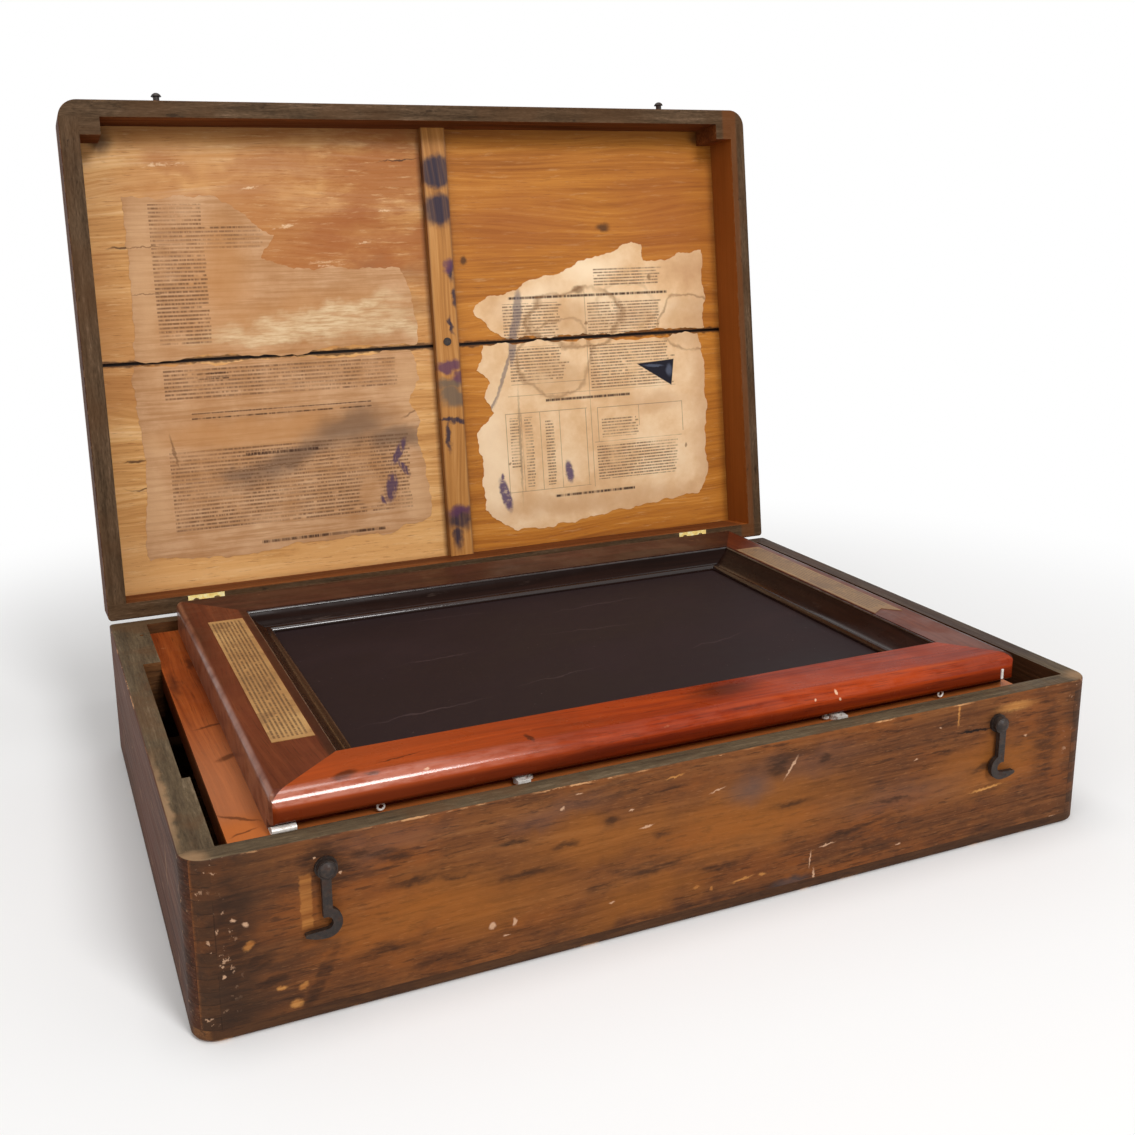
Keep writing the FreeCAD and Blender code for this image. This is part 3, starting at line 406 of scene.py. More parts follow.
def side_marks(p, c):
    """Stains and scratches of the side walls; places are (y, z) in millimetres."""
    plane = p.vec(p.y, p.z, 0.0)
    fine = p.shaken(plane, 0.0030, 400.0, 4.0)
    red = p.step(p.noise(p.co, 9.0, 4.0), 0.35, 0.62)
    outer = p.step(p.absolute(p.x), 0.289, 0.2905)
    c = p.stain(c, "5a3322", p.both(p.math("MULTIPLY", red, 0.45), outer))
    c = p.stain(c, "33231a", p.both(p.step(p.y, -0.15, -0.185, 0, 0.6), outer))
    pale = p.spots(fine, [(-120, 62, 1.6, 13, 4, .7), (-60, 70, 6, .7, 0, .5), (20, 40, 9, .8, 8, .5),
        (90, 84, 5, .9, 0, .5), (140, 30, 1.4, 8, 6, .6), (-20, 14, 7, .9, 0, .5),
        (-150, 20, 1.4, 5, 0, .5), (60, 56, 3, .7, -10, .5), (-90, 34, 4, .7, 6, .5)])
    c = p.stain(c, "a37e5c", p.both(pale, outer), 0.5)
    c = p.stain(c, "38291e", faces_front(p), 0.7)
    ends = p.both(p.either(p.step(p.y, -0.170, -0.182), p.step(p.y, 0.172, 0.182)), outer,
        p.step(p.noise(p.co, 230.0, 4.0, 0.65), 0.6, 0.64), p.step(p.noise(p.co, 38.0, 3.0), 0.45, 0.55))
    return p.stain(c, "b58a66", ends, 0.6)


def case_wall_wood(name, long_wall):
    """Wood of a box wall: what faces front or back has its grain along X, what faces a side along Y and
    darker tones, painted shade.
    """
    p = Paint(name, IOR=1.2)
    facing_x, facing_y, _ = p.split(p.source.outputs["Normal"])
    turned = p.math("SUBTRACT", p.absolute(facing_y), p.absolute(facing_x))
    on_front = p.math("GREATER_THAN", turned, 0.0)
    along = p.math("MULTIPLY_ADD", on_front, p.math("SUBTRACT", p.x, p.y), p.y)
    depth = p.math("MULTIPLY_ADD", on_front, p.math("SUBTRACT", p.y, p.x), p.x)
    c, fibres = stained_wood(p, along, p.z, depth, SHADED_SIDE_TONES, "52301c", on_front, FRONT_TONES, "864a1f")
    if long_wall:
        c = front_marks(p, c, fibres)
    else:
        c = side_marks(p, c)
    outside = p.either(p.step(p.absolute(p.x), INNER_X + 5 * HAIR, INNER_X + 10 * HAIR),
        p.step(p.absolute(p.y), INNER_Y + 5 * HAIR, INNER_Y + 10 * HAIR))
    c = p.blend(outside, p.stain(c, "50341f", 0.5), c)
    c = finger_joints(p, c, p.both(on_front, p.step(p.absolute(p.y), 0.190, 0.1915)))
    c = rim_colour(p, c, p.x if long_wall else p.y, p.y if long_wall else p.x)
    c = worn_edges(p, c, p.shaken(p.co, 0.0012, 300.0))
    return p.finish(c, p.step(fibres, 0.3, 0.7, 0.7, 0.54), fibres, 0.5, 0.0009)


def plain_case_wood():
    """Wood of the bottom, cleats and blocks, dark and chipped on the outside edges."""
    p = Paint("case_board_wood", IOR=1.2)
    c, fibres = stained_wood(p, p.x, p.y, p.z, INNER_TONES, "7a4e2a")
    edge = p.either(p.step(p.absolute(p.y), 0.1925, 0.1937), p.step(p.absolute(p.x), 0.2905, 0.2917))
    c = p.stain(c, "35231a", edge, 0.7)
    c = worn_edges(p, c, p.shaken(p.co, 0.0012, 300.0))
    c = rim_colour(p, c, p.y, p.x)
    return p.finish(c, p.step(fibres, 0.3, 0.7, 0.7, 0.55), fibres, 0.5, 0.0009)


dress(case_wall_wood("case_long_wall_wood", True), "case_front_wall", "case_back_wall")
dress(case_wall_wood("case_side_wall_wood", False), "case_left_wall", "case_right_wall")
dress(plain_case_wood(), "case_bottom_front", "case_bottom_back", "case_cleat_front", "case_cleat_back",
    "case_block_left_front", "case_block_left_rear", "case_block_right")


# Walls of the lid: weathered rim, stained outside, brown inside
def lid_wall_wood(name, upright):
    p = Paint(name, IOR=1.12)
    u, v, w = p.lid()
    along, across = (v, u) if upright else (u, v)
    bands, fibres, _ = grain_of(p, along, w, across)
    tone = p.mixed(fibres, 0.55, bands, 0.5)
    base = p.ramp(tone, (0.28, "341b0f"), (0.45, "552d16"), (0.6, "703d1d"), (0.75, "875027"))
    outer = p.either(p.step(p.absolute(u), 0.2885, 0.2905), p.step(v, 0.3865, 0.3885), p.step(v, 0.0035,
        0.0015))
    worn, _ = stained_wood(p, along, w, across, SHADED_SIDE_TONES, "52301c")
    base = p.blend(outer, base, worn)
    lit = p.both(p.step(u, 0.270, 0.276), p.inverse(outer))
    base = p.stain(base, "97541f", lit, 0.7)
    lip = p.step(w, 0.0030, 0.0006)
    wood = p.vec(along, across, w)
    rim_grain = p.stretched(wood, (16, 190, 16), 5.0, 0.65)
    fuzz = p.stretched(wood, (190, 900, 14), 4.0, 0.65)
    rim_tone = p.mixed(fuzz, 0.4, rim_grain, 0.6)
    rim = p.ramp(rim_tone, (0.3, "2a1f16"), (0.45, "483727"), (0.57, "5f4a37"), (0.72, "8a705a"))
    cloud = p.step(p.noise(p.vec(u, v, w), 14.0, 4.0), 0.4, 0.62)
    rim = p.stain(rim, "503621", cloud, 0.5)
    rim = p.stain(rim, "70401f", p.span(u, 0.270, 0.2835, 0.0015), 0.6)
    knots = p.step(p.stretched(wood, (40, 110, 16), 5.0, 0.7), 0.6, 0.68)
    rim = p.stain(rim, "1f1610", knots, 0.6)
    facing = p.dot(p.source.outputs["Normal"], tuple(-k for k in LID_OUT))
    c = p.blend(p.both(p.step(facing, 0.7, 0.93), lip), base, rim)
    chips = p.both(p.step(facing, 0.93, 0.6), lip, p.step(p.noise(p.co, 140.0, 4.0, 0.7), 0.52, 0.58))
    c = p.stain(c, "96704c", chips, 0.45)
    rough = p.step(fibres, 0.3, 0.7, 0.66, 0.5)
    height = p.mixed(fibres, 0.5, rim_grain, 0.5)
    return p.finish(c, rough, height, 0.5, 0.0009)


dress(lid_wall_wood("lid_rail_wood", False), "lid_front_wall", "lid_back_wall", "lid_block_left",
    "lid_block_right")
dress(lid_wall_wood("lid_stile_wood", True), "lid_left_wall", "lid_right_wall")


# Golden boards inside the lid, stained outside; the lap of the seam lies between the two depths
SEAM_HEIGHT = 0.1955
LAP_DEPTHS = (0.0365, 0.0370)


def lid_board_wood():
    """Oak inside the lid, pale and worn on the left, golden on the right of the batten, with painted light
    on the lower left.
    """
    p = Paint("lid_board_oak", IOR=1.3)
    u, v, w = p.lid()
    bands, fibres, _ = grain_of(p, u, v, w, 1.6)
    plane = p.vec(u, v, 0.0)
    cloud = p.noise(plane, 9.0, 4.0, 0.6)
    tone = p.mixed(fibres, 0.45, bands, 0.55)
    pale = p.ramp(tone, (0.3, "ac733c"), (0.45, "ce9555"), (0.56, "e0ab6c"), (0.72, "f2c792"))
    golden = p.ramp(tone, (0.3, "8e501a"), (0.45, "b06b23"), (0.56, "c27c2c"), (0.72, "d89548"))
    left = p.step(u, 0.01, -0.005)
    oak = p.blend(left, golden, pale)
    oak = p.stain(oak, "b5733a", p.both(p.step(cloud, 0.42, 0.62, 0, 0.45), left))
    # painted light: the lower part left of the batten is made lighter
    low = p.both(left, p.step(v, 0.075, 0.03), p.step(p.noise(plane, 18.0, 4.0, 0.6), 0.3, 0.55))
    oak = p.stain(oak, "eab473", low, 0.55)
    ruddy = p.both(p.step(u, -0.20, -0.06), left, p.step(v, 0.20, 0.27))
    ruddy = p.both(ruddy, p.step(p.stretched(plane, (14, 40, 1), 5.0, 0.65, offset=(3, 1, 0)), 0.34, 0.58,
        0.25, 1))
    oak = p.stain(oak, "a35c28", ruddy, 0.8)
    flecks = p.step(p.stretched(plane, (60, 700, 1), 4.0, 0.65), 0.56, 0.7)
    oak = p.stain(oak, "8a5022", flecks, 0.5)
    rays = p.step(p.stretched(plane, (40, 330, 1), 5.0, 0.7, offset=(7, 3, 0)), 0.55, 0.68)
    oak = p.stain(oak, "ecc48e", p.both(rays, p.step(u, 0.0, -0.02, 0.18, 0.42)))
    loose = p.shaken(plane, 0.05, 30.0, 5.0)
    rust = p.spots(loose, [(-190, 322, 60, 14, 0, .9), (-90, 290, 60, 16, 5, .9), (-60, 262, 45, 12, 0, .9),
        (-120, 345, 50, 8, 0, .9), (80, 300, 60, 26, 0, .9), (230, 300, 50, 40, 0, .9),
        (-215, 348, 20, 9, 0, .9), (-230, 300, 14, 40, 0, .9)])
    oak = p.stain(oak, "9d5626", rust, 0.5)
    smear = p.spots(loose, [(-70, 252, 55, 9, 4, .8), (-40, 225, 40, 8, 6, .8), (-140, 243, 22, 8, 0, .9)])
    oak = p.stain(oak, "8d6a4a", smear, 0.5)
    scar = p.spots(p.shaken(plane, 0.006, 320.0, 5.0), [(-222, 348, 9, 1.2, 3, .6),
        (-205, 349, 5, 1, 0, .6), (-125, 299, 8, 1.2, 8, .6), (-60, 284, 5, 1, 0, .6),
        (-92, 268, 12, 1.8, 0, .7), (-150, 330, 7, .8, 4, .6), (-180, 285, 5, .8, 0, .6),
        (-40, 310, 6, .8, 0, .6)])
    scar = p.both(scar, p.step(p.stretched(plane, (110, 420, 1), 3.0, 0.6), 0.42, 0.56))
    oak = p.stain(oak, "eecaa0", scar, 0.7)
    ragged_v = p.split(p.shaken(plane, 0.006, 130.0, 5.0))[1]
    seam = p.step(p.absolute(p.math("SUBTRACT", ragged_v, SEAM_HEIGHT)), 0.0036, 0.0016)
    knots = p.spots(p.shaken(plane, 0.008, 90.0, 4.0), [(162, 293, 6, 3, 0, .6), (27, 268, 3, 3.5, 0, .5),
        (-253, 285, 9, .9, 3, .5), (-262, 366, 8, 9, 0, .7), (265, 372, 9, 7, 0, .7),
        (-250, 96, 14, .7, -3, .5), (-258, 120, 8, .7, 0, .5), (-24, 352, 16, .6, 4, .5)])
    oak = p.stain(oak, "3a2111", p.either(seam, knots), 0.8)
    # darker along the walls and on both sides of the batten
    darker_by_walls_and_batten = p.either(p.step(u, -0.274, -0.279, 0, .6), p.step(u, 0.268, 0.279, 0, .7), p.step(v, 0.363,
        0.376, 0, .8), p.step(v, 0.018, 0.012, 0, .6), p.span(u, -0.0085, 0.0185, 0.002))
    oak = p.stain(oak, "5a3217", darker_by_walls_and_batten, 0.55)
    # painted shade in the groove of the lapped seam
    seam_groove_shade = p.both(p.step(w, *LAP_DEPTHS), p.step(p.absolute(p.math("SUBTRACT", v, SEAM_HEIGHT)), 0.0020,
        0.0014))
    oak = p.stain(oak, "241309", seam_groove_shade)
    outside = p.both(p.step(w, 0.0375, 0.0385), p.inverse(seam_groove_shade))
    stain, _ = stained_wood(p, u, v, w, SHADED_SIDE_TONES, "52301c")
    c = p.blend(outside, oak, stain)
    rough = p.step(fibres, 0.3, 0.7, 0.58, 0.42)
    height = p.mixed(fibres, 0.5, flecks, -0.3)
    return p.finish(c, rough, height, 0.4, 0.0006)


dress(lid_board_wood(), "lid_board_front", "lid_board_back")


# Centre batten with ink stains
def batten_wood():
    p = Paint("batten_oak", IOR=1.3)
    u, v, w = p.lid()
    bands, fibres, _ = grain_of(p, v, u, w)
    tone = p.mixed(fibres, 0.6, bands, 0.4)
    c = p.ramp(tone, (0.3, "8f5c2a"), (0.5, "b57a3c"), (0.7, "cf985a"))
    plane = p.shaken(p.vec(u, v, 0.0), 0.012, 110.0, 4.0)
    ink = p.spots(plane, [(5, 341, 16, 13, 0, .25), (6, 310, 15, 13, 0, .35), (13, 258, 3, 8, 0, .5),
        (14, 236, 2.5, 7, 0, .5), (9, 212, 2, 8, 10, .5), (5, 45, 12, 9, 0, .6), (0, 118, 2, 12, 0, .6),
        (5, 131, 14, 1.6, -8, .5), (2, 30, 4, 10, 0, .7)])
    c = p.stain(c, "262032", p.math("MULTIPLY", ink, p.step(fibres, 0.3, 0.75, 0.97, 0.8)))
    plum = p.spots(plane, [(4, 178, 13, 6, 0, .3), (13, 168, 6, 4, 0, .6), (11, 262, 4, 6, 0, .6),
        (5, 52, 12, 4, 0, .6)])
    c = p.stain(c, "56304e", plum, 0.85)
    grey = p.spots(plane, [(6, 152, 12, 9, -30, .4), (3, 163, 12, 4, 0, .5)])
    c = p.stain(c, "5f564b", grey, 0.8)
    # painted shade on the batten's two side faces
    edge = p.either(p.step(u, -0.0035, -0.0056, 0, .6), p.step(u, 0.0135, 0.0156, 0, .6))
    c = p.stain(c, "5f381c", edge)
    return p.finish(c, p.step(fibres, 0.3, 0.7, 0.5, 0.38), fibres, 0.4, 0.0005)


dress(batten_wood(), "lid_batten")


# Old printed sheets in the lid: the print is generic and cannot be read
def rows(p, u, v, pitch, fill, letters, seed):
    """Broken rows of marks as long as u runs, like small print."""
    row = p.math("FLOOR", p.math("DIVIDE", v, pitch))
    place = p.math("FRACT", p.math("DIVIDE", v, pitch))
    bar = p.span(place, 0.5 - fill / 2, 0.5 + fill / 2, 0.12)
    line = p.vec(p.math("MULTIPLY", u, letters), p.math("MULTIPLY_ADD", row, 7.31, seed), 0.0)
    glyph = p.step(p.noise(line, 1.0, 2.0, 0.7), 0.32, 0.56, 0.25, 1.0)
    word = p.vec(p.math("MULTIPLY", u, letters * 0.17), p.math("MULTIPLY_ADD", row, 3.77, seed + 9.0), 0.0)
    gap = p.step(p.noise(word, 1.0, 1.0), 0.27, 0.36)
    return p.both(bar, glyph, gap), row


def block(p, u, v, x0, x1, z0, z1, row=None, ragged=0.0):
    """A rectangle in millimetres; with a row number its right end is ragged."""
    x0, x1, z0, z1 = (k / 1e3 for k in (x0, x1, z0, z1))
    if row is None:
        return p.both(p.span(u, x0, x1, 0.00025), p.span(v, z0, z1, 0.00025))
    shift = p.noise(p.vec(p.math("MULTIPLY", row, 3.1), 4.0, 0.0), 1.0, 0.0)
    end = p.math("MULTIPLY_ADD", shift, -ragged / 1e3, x1)
    right = p.math("LESS_THAN", u, end)
    return p.both(p.math("GREATER_THAN", u, x0), right, p.span(v, z0, z1, 0.0002))


def rules(p, u, v, places):
    """Thin printed rules (x0, x1, z0, z1) in millimetres."""
    return p.either(*[block(p, u, v, *place) for place in places])


def paper_base(p, plane, colours, seed):
    """Mottled old paper and its fibres."""
    mottle = p.noise(p.scaled(plane, (1, 1, 1), (seed, 0, 0)), 38.0, 6.0, 0.65)
    wash = p.noise(p.scaled(plane, (1, 1, 1), (seed, 3, 0)), 11.0, 4.0, 0.6)
    tone = p.mixed(mottle, 0.45, wash, 0.55)
    fibre = p.stretched(plane, (420, 900, 1), 3.0, 0.6)
    return p.ramp(tone, *colours), fibre


def left_sheet_paper():
    """The rubbed sheet left of the batten, with its print, smears and purple ink."""
    p = Paint("sheet_left_paper", Roughness=0.8, Specular_IOR_Level=0.2)
    u, v, w = p.lid()
    plane = p.vec(u, v, 0.0)
    loose = p.shaken(plane, 0.03, 30.0, 4.0)
    fine = p.shaken(plane, 0.004, 250.0)
    c, fibre = paper_base(p, plane, ((0.32, "b07d51"), (0.46, "c29267"), (0.58, "d0a37a"), (0.7, "ddb48a")),
        2.0)
    wood = p.stretched(plane, (16, 330, 1), 5.0, 0.65)
    c = p.stain(c, "a4703f", p.step(wood, 0.42, 0.62), 0.5)
    worn = p.spots(loose, [(-180, 262, 22, 40, 0, .7), (-120, 222, 90, 18, 3, .7),
        (-150, 137, 100, 9, 2, .6)])
    c = p.stain(c, "bf8650", worn, 0.55)
    glare = p.spots(p.shaken(plane, 0.03, 40.0, 4.0), [(-110, 217, 78, 8, 4, .7), (-85, 230, 50, 6, 8, .7),
        (-150, 208, 40, 5, 0, .7), (-40, 212, 32, 6, 0, .8)])
    threads = p.step(p.stretched(plane, (50, 420, 1), 5.0, 0.7, offset=(2, 2, 0)), 0.36, 0.62, 0.3, 1.0)
    c = p.stain(c, "e6cba2", p.both(glare, threads), 0.85)
    lightened = p.spots(loose, [(-245, 130, 12, 9, 0, .8), (-28, 165, 14, 22, 0, .8),
        (-240, 260, 12, 60, 0, .7), (-30, 70, 12, 22, 0, .8), (-248, 80, 14, 30, 0, .8)])
    c = p.stain(c, "d8ab7e", lightened, 0.5)
    cloud = p.spots(loose, [(-84, 133, 34, 14, 8, .6), (-44, 124, 26, 10, -4, .6),
        (-135, 112, 48, 9, 18, .7), (-176, 104, 18, 6, 0, .8)])
    c = p.stain(c, "665245", cloud, 0.66)
    text, row = rows(p, u, v, 0.0031, 0.5, 620.0, 0.0)
    upper = block(p, u, v, -231, -188, 208, 318, row, 5)
    upper2 = block(p, u, v, -231, -140, 282, 300, row, 10)
    middle = block(p, u, v, -231, -36, 164, 190, row, 8)
    lower = block(p, u, v, -232, -30, 58, 124, row, 9)
    body = p.either(upper, upper2, middle, lower)
    clear = p.inverse(p.spots(plane, [(-170, 140, 95, 6, 1, .3), (-70, 75, 10, 12, 0, .3)]))
    fade = p.step(p.noise(plane, 26.0, 4.0, 0.6), 0.36, 0.58, 0.25, 0.8)
    c = p.stain(c, "684832", p.both(text, body, clear, fade))
    bold, _ = rows(p, u, v, 0.0052, 0.46, 480.0, 5.0)
    heads = p.either(block(p, u, v, -212, -64, 148.2, 153.2), block(p, u, v, -172, -112, 114.4, 119.4),
        block(p, u, v, -205, -180, 179.4, 184.6), block(p, u, v, -165, -60, 41.6, 46.8))
    c = p.stain(c, "42291d", p.both(bold, heads, p.step(fade, 0.3, 0.8, 0.6, 0.95)))
    purple = p.spots(fine, [(-43, 108, 3.4, 12, -30, .3), (-52, 78, 5, 12, -12, .3),
        (-40, 94, 2.4, 8, 35, .3), (-60, 68, 2, 4, 20, .4)])
    streaks = p.step(p.stretched(plane, (300, 60, 1), 3.0, 0.6), 0.36, 0.52, 0.35, 1.0)
    c = p.stain(c, "503a52", p.both(purple, streaks), 0.88)
    crease = p.spots(fine, [(-237, 285, 14, .5, 2, .5), (-237, 249, 12, .4, 0, .5),
        (-228, 124, 1, 12, 10, .5), (-140, 106, 60, .4, 2, .5), (-30, 140, 8, .9, 25, .5)])
    c = p.stain(c, "6d4a2e", crease, 0.6)
    return p.finish(c, None, fibre, 0.35, 0.0003)


def right_sheet_paper():
    """The paler sheet right of the batten, with tables, tea rings and a navy torn corner."""
    p = Paint("sheet_right_paper", Roughness=0.75, Specular_IOR_Level=0.2)
    u, v, w = p.lid()
    plane = p.vec(u, v, 0.0)
    loose = p.shaken(plane, 0.02, 40.0, 4.0)
    fine = p.shaken(plane, 0.003, 260.0)
    c, fibre = paper_base(p, plane, ((0.32, "cd9d70"), (0.46, "e2b88a"), (0.56, "eecaa0"), (0.7, "f6dbb6")),
        7.0)
    worn = p.spots(loose, [(262, 120, 14, 120, 0, .8), (140, 47, 110, 9, 0, .7), (205, 134, 32, 7, 0, .7),
        (245, 258, 20, 12, 0, .8), (190, 215, 22, 9, 0, .8)])
    c = p.stain(c, "c4956a", worn, 0.45)
    clean = p.spots(loose, [(42, 100, 16, 55, 0, .8), (90, 232, 30, 10, 20, .8), (150, 255, 26, 9, 10, .8)])
    c = p.stain(c, "ffe4c0", clean, 0.6)
    text, row = rows(p, u, v, 0.0027, 0.48, 760.0, 3.0)
    body = p.either(block(p, u, v, 150, 225, 240, 256, row, 20), block(p, u, v, 60, 128, 198, 228, row, 30),
        block(p, u, v, 142, 226, 198, 226, row, 24), block(p, u, v, 64, 128, 160, 190, row, 26), block(p, u,
        v, 142, 236, 148, 188, row, 26), block(p, u, v, 60, 70, 84, 128, row, 3), block(p, u, v, 74, 84, 66,
        128, row, 5), block(p, u, v, 94, 104, 66, 124, row, 4), block(p, u, v, 150, 196, 104, 122, row, 20),
        block(p, u, v, 144, 232, 66, 98, row, 12))
    fade = p.step(p.noise(plane, 34.0, 4.0, 0.6), 0.32, 0.5, 0.3, 0.85)
    c = p.stain(c, "6d5540", p.both(text, body, fade))
    bold, _ = rows(p, u, v, 0.0048, 0.46, 520.0, 11.0)
    heads = p.either(block(p, u, v, 66, 224, 230.6, 235.2), block(p, u, v, 96, 180, 139.4, 144.0), block(p,
        u, v, 100, 180, 52.6, 57.8))
    c = p.stain(c, "4f3c2e", p.both(bold, heads))
    lines = rules(p, u, v, [(56, 136, 131.6, 132.2), (56.2, 56.8, 62, 132), (71, 71.5, 62, 132),
        (89, 89.5, 62, 132), (108, 108.5, 62, 132), (134, 134.6, 62, 132), (56, 136, 62, 62.5),
        (139.5, 140, 60, 236), (146, 234, 131, 131.6), (146, 146.6, 100, 131), (233.4, 234, 104, 131),
        (188, 188.5, 112, 131), (64, 136, 157, 157.5), (142, 232, 100, 100.5), (60, 228, 147, 147.4)])
    c = p.stain(c, "6a5846", p.both(lines, fade), 0.75)
    wavy = p.shaken(fine, 0.026, 34.0, 3.0)
    tea = p.either(p.ring(wavy, 131, 212, 46, 27, 2.6), p.ring(wavy, 246, 205, 31, 27, 2.4),
        p.math("MULTIPLY", p.ring(wavy, 108, 178, 36, 34, 2.8), 0.8), p.math("MULTIPLY", p.ring(wavy, 182,
        222, 30, 20, 2.4), 0.4))
    tea = p.both(tea, p.step(p.noise(plane, 30.0, 3.0), 0.3, 0.55, 0.35, 1.0))
    c = p.stain(c, "8a623e", tea, 0.62)
    wet = p.spots(loose, [(246, 205, 27, 23, 0, .3), (108, 160, 30, 14, 0, .4), (131, 208, 30, 16, 0, .5)])
    c = p.stain(c, "b4875c", wet, 0.3)
    dots = p.spots(fine, [(134, 238, 5.5, 3.4, 0, .4), (206, 247, 2, 2.5, 0, .4),
        (140, 208, 1.8, 1.4, 0, .4), (58, 88, 1.4, 1, 0, .4), (236, 90, 1.2, 2, 0, .4)])
    c = p.stain(c, "7c5736", dots, 0.7)
    grey = p.spots(fine, [(74, 222, 4.2, 18, -6, .3), (68, 196, 3.8, 20, -8, .3),
        (58, 168, 1.6, 26, -22, .4), (46, 142, 1.1, 10, -30, .4)])
    c = p.stain(c, "5c5560", grey, 0.62)
    drip = p.spots(fine, [(69, 105, 1.2, 42, -1, .5)])
    c = p.stain(c, "75634f", drip, 0.5)
    du, dv = p.math("SUBTRACT", u, 0.189), p.math("SUBTRACT", v, 0.1685)
    upper = p.step(p.math("MULTIPLY_ADD", du, -0.06, dv), 0.0003, -0.0003)
    lower = p.step(p.math("MULTIPLY_ADD", du, 0.62, dv), -0.0004, 0.0004)
    right = p.step(p.math("MULTIPLY_ADD", dv, -0.15, du), 0.0385, 0.0378)
    navy = p.both(upper, lower, right)
    c = p.stain(c, "1c1a24", navy)
    glint = p.both(navy, p.spots(fine, [(206, 166, 9, 1.3, -4, .4), (222, 161, 3, 5, 0, .5)]))
    c = p.stain(c, "6d7488", glint, 0.45)
    purple = p.spots(fine, [(52, 61, 4.6, 15, 14, .25), (115, 76, 3.8, 9.5, 8, .3),
        (50, 77, 1.6, 3, 0, .4)])
    streaks = p.step(p.stretched(plane, (160, 260, 1), 3.0, 0.6), 0.3, 0.5, 0.55, 1.0)
    c = p.stain(c, "4c3860", p.both(purple, streaks), 0.9)
    return p.finish(c, None, fibre, 0.35, 0.0003)


def torn(points, rng, rough, rounds=5):
    """Outline whose straight runs are broken up like torn paper; amounts in millimetres."""
    for turn in range(rounds):
        grown = []
        for (a, b), (c, d) in zip(points, points[1:] + points[:1]):
            run = math.hypot(c - a, d - b)
            grown.append((a, b))
            if run > 1.2:
                push = rng.uniform(-1, 1) * min(rough, run * 0.13)
                grown.append(((a + c) / 2 - (d - b) / run * push, (b + d) / 2 + (c - a) / run * push))
        points = grown
    return points


# Depths in the lid of the papers' two faces, in millimetres
PAPER_FACES = (35.86, 36.13)


def lid_point(u, v, w):
    """A place on the open lid, from millimetres across, up and deep."""
    return Vector(LID_AXIS) + Vector((u, 0,
        0)) / 1e3 + Vector(LID_UP) * (v / 1e3) + Vector(LID_OUT) * (w / 1e3)


def paper_piece(name, outlines, material, node, seed, rough):
    """Thin torn sheets that ride on the lid in place of a node."""
    mesh = bpy.data.meshes.new(name)
    shape = bmesh.new()
    rng = random.Random(seed)
    for outline in outlines:
        edge = torn(outline, rng, rough)
        faces = []
        for w in PAPER_FACES:
            faces.append(shape.faces.new([shape.verts.new(lid_point(u, v, w)) for u, v in edge]))
        near, far = faces
        for k in range(len(edge)):
            after = (k + 1) % len(edge)
            shape.faces.new((near.verts[k], near.verts[after], far.verts[after], far.verts[k]))
    bmesh.ops.recalc_face_normals(shape, faces=shape.faces)
    bmesh.ops.triangulate(shape, faces=shape.faces)
    shape.to_mesh(mesh)
    shape.free()
    made = bpy.data.objects.new(name, mesh)
    scene.collection.objects.link(made)
    mesh.materials.append(material)
    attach(made, "lid")
    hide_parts(node)


paper_piece("sheet_left", [[(-250, 324), (-215, 323), (-176, 322), (-146, 298), (-134, 292), (-146, 274),
    (-128, 268), (-62, 264), (-30, 262), (-22, 240), (-20, 198), (-110, 198), (-252, 198), (-249, 250)],
    [(-253, 193.4), (-140, 193), (-26, 193), (-20, 168), (-31, 150), (-22, 132), (-26, 120), (-20, 96),
    (-19, 50), (-62, 38), (-150, 37), (-254, 39), (-250, 120)]], left_sheet_paper(), "lid_sheet_left", 11,
    2.0)
paper_piece("sheet_right", [[(36, 218), (33, 224), (42, 232), (62, 236), (84, 247), (112, 252), (134, 262),
    (160, 268), (182, 277), (190, 279), (200, 276), (201, 262), (218, 262), (238, 268), (262, 270),
    (262, 198), (180, 198), (130, 198), (62, 198), (48, 206)], [(40, 193.4), (150, 193), (254, 193),
    (258, 172), (257, 60), (246, 43), (150, 34), (62, 28), (46, 38), (32, 50), (29, 118), (46, 134),
    (38, 148), (44, 160), (32, 172)]], right_sheet_paper(), "lid_sheet_right", 23, 2.6)


# Varnished mahogany of the frame and bed
def mahogany(name, direction, colours, extra=None, ior=1.2, gloss=(0.30, 0.46)):
    """Figured red-brown wood; extra adds marks, painted light and shade, and a mask of the polished places.
    """
    p = Paint(name, IOR=ior, Coat_Roughness=0.14)
    along, across = (p.x, p.y) if direction == "x" else (p.y, p.x)
    bands, fibres, pores = grain_of(p, along, across, p.z)
    tone = p.mixed(fibres, 0.4, bands, 0.6)
    c = p.ramp(tone, *colours)
    c = p.stain(c, "240a05", p.step(pores, 0.56, 0.7), 0.45)
    clouds = p.step(p.noise(p.co, 16.0, 4.0, 0.6), 0.42, 0.66)
    c = p.blend(p.math("MULTIPLY", clouds, 0.3), c, lin(colours[0][1]))
    scuff = p.step(p.stretched(p.co, (60, 60, 110), 4.0, 0.7), 0.68, 0.73)
    c = p.stain(c, "c98a5c", scuff, 0.2)
    rough = p.step(p.noise(p.co, 40.0, 4.0, 0.6), 0.35, 0.65, *gloss)
    linked = {}
    if extra:
        c, coat = extra(p, c)
        linked["Coat_Weight"] = coat
    dents = p.noise(p.co, 90.0, 3.0, 0.5)
    height = p.mixed(fibres, 0.35, dents, 0.65)
    return p.finish(c, rough, height, 0.16, 0.0008, **linked)


RED = ((0.3, "591604"), (0.45, "842806"), (0.58, "a43a0a"), (0.74, "c25416"))
BROWN = ((0.3, "411b0e"), (0.45, "562514"), (0.58, "66301b"), (0.74, "7a3f25"))
SHADED_BACK_TONES = ((0.3, "24120c"), (0.45, "381c12"), (0.58, "48261a"), (0.74, "5e3626"))
ORANGE = ((0.3, "64270d"), (0.45, "8a4019"), (0.58, "a55525"), (0.74, "c07238"))


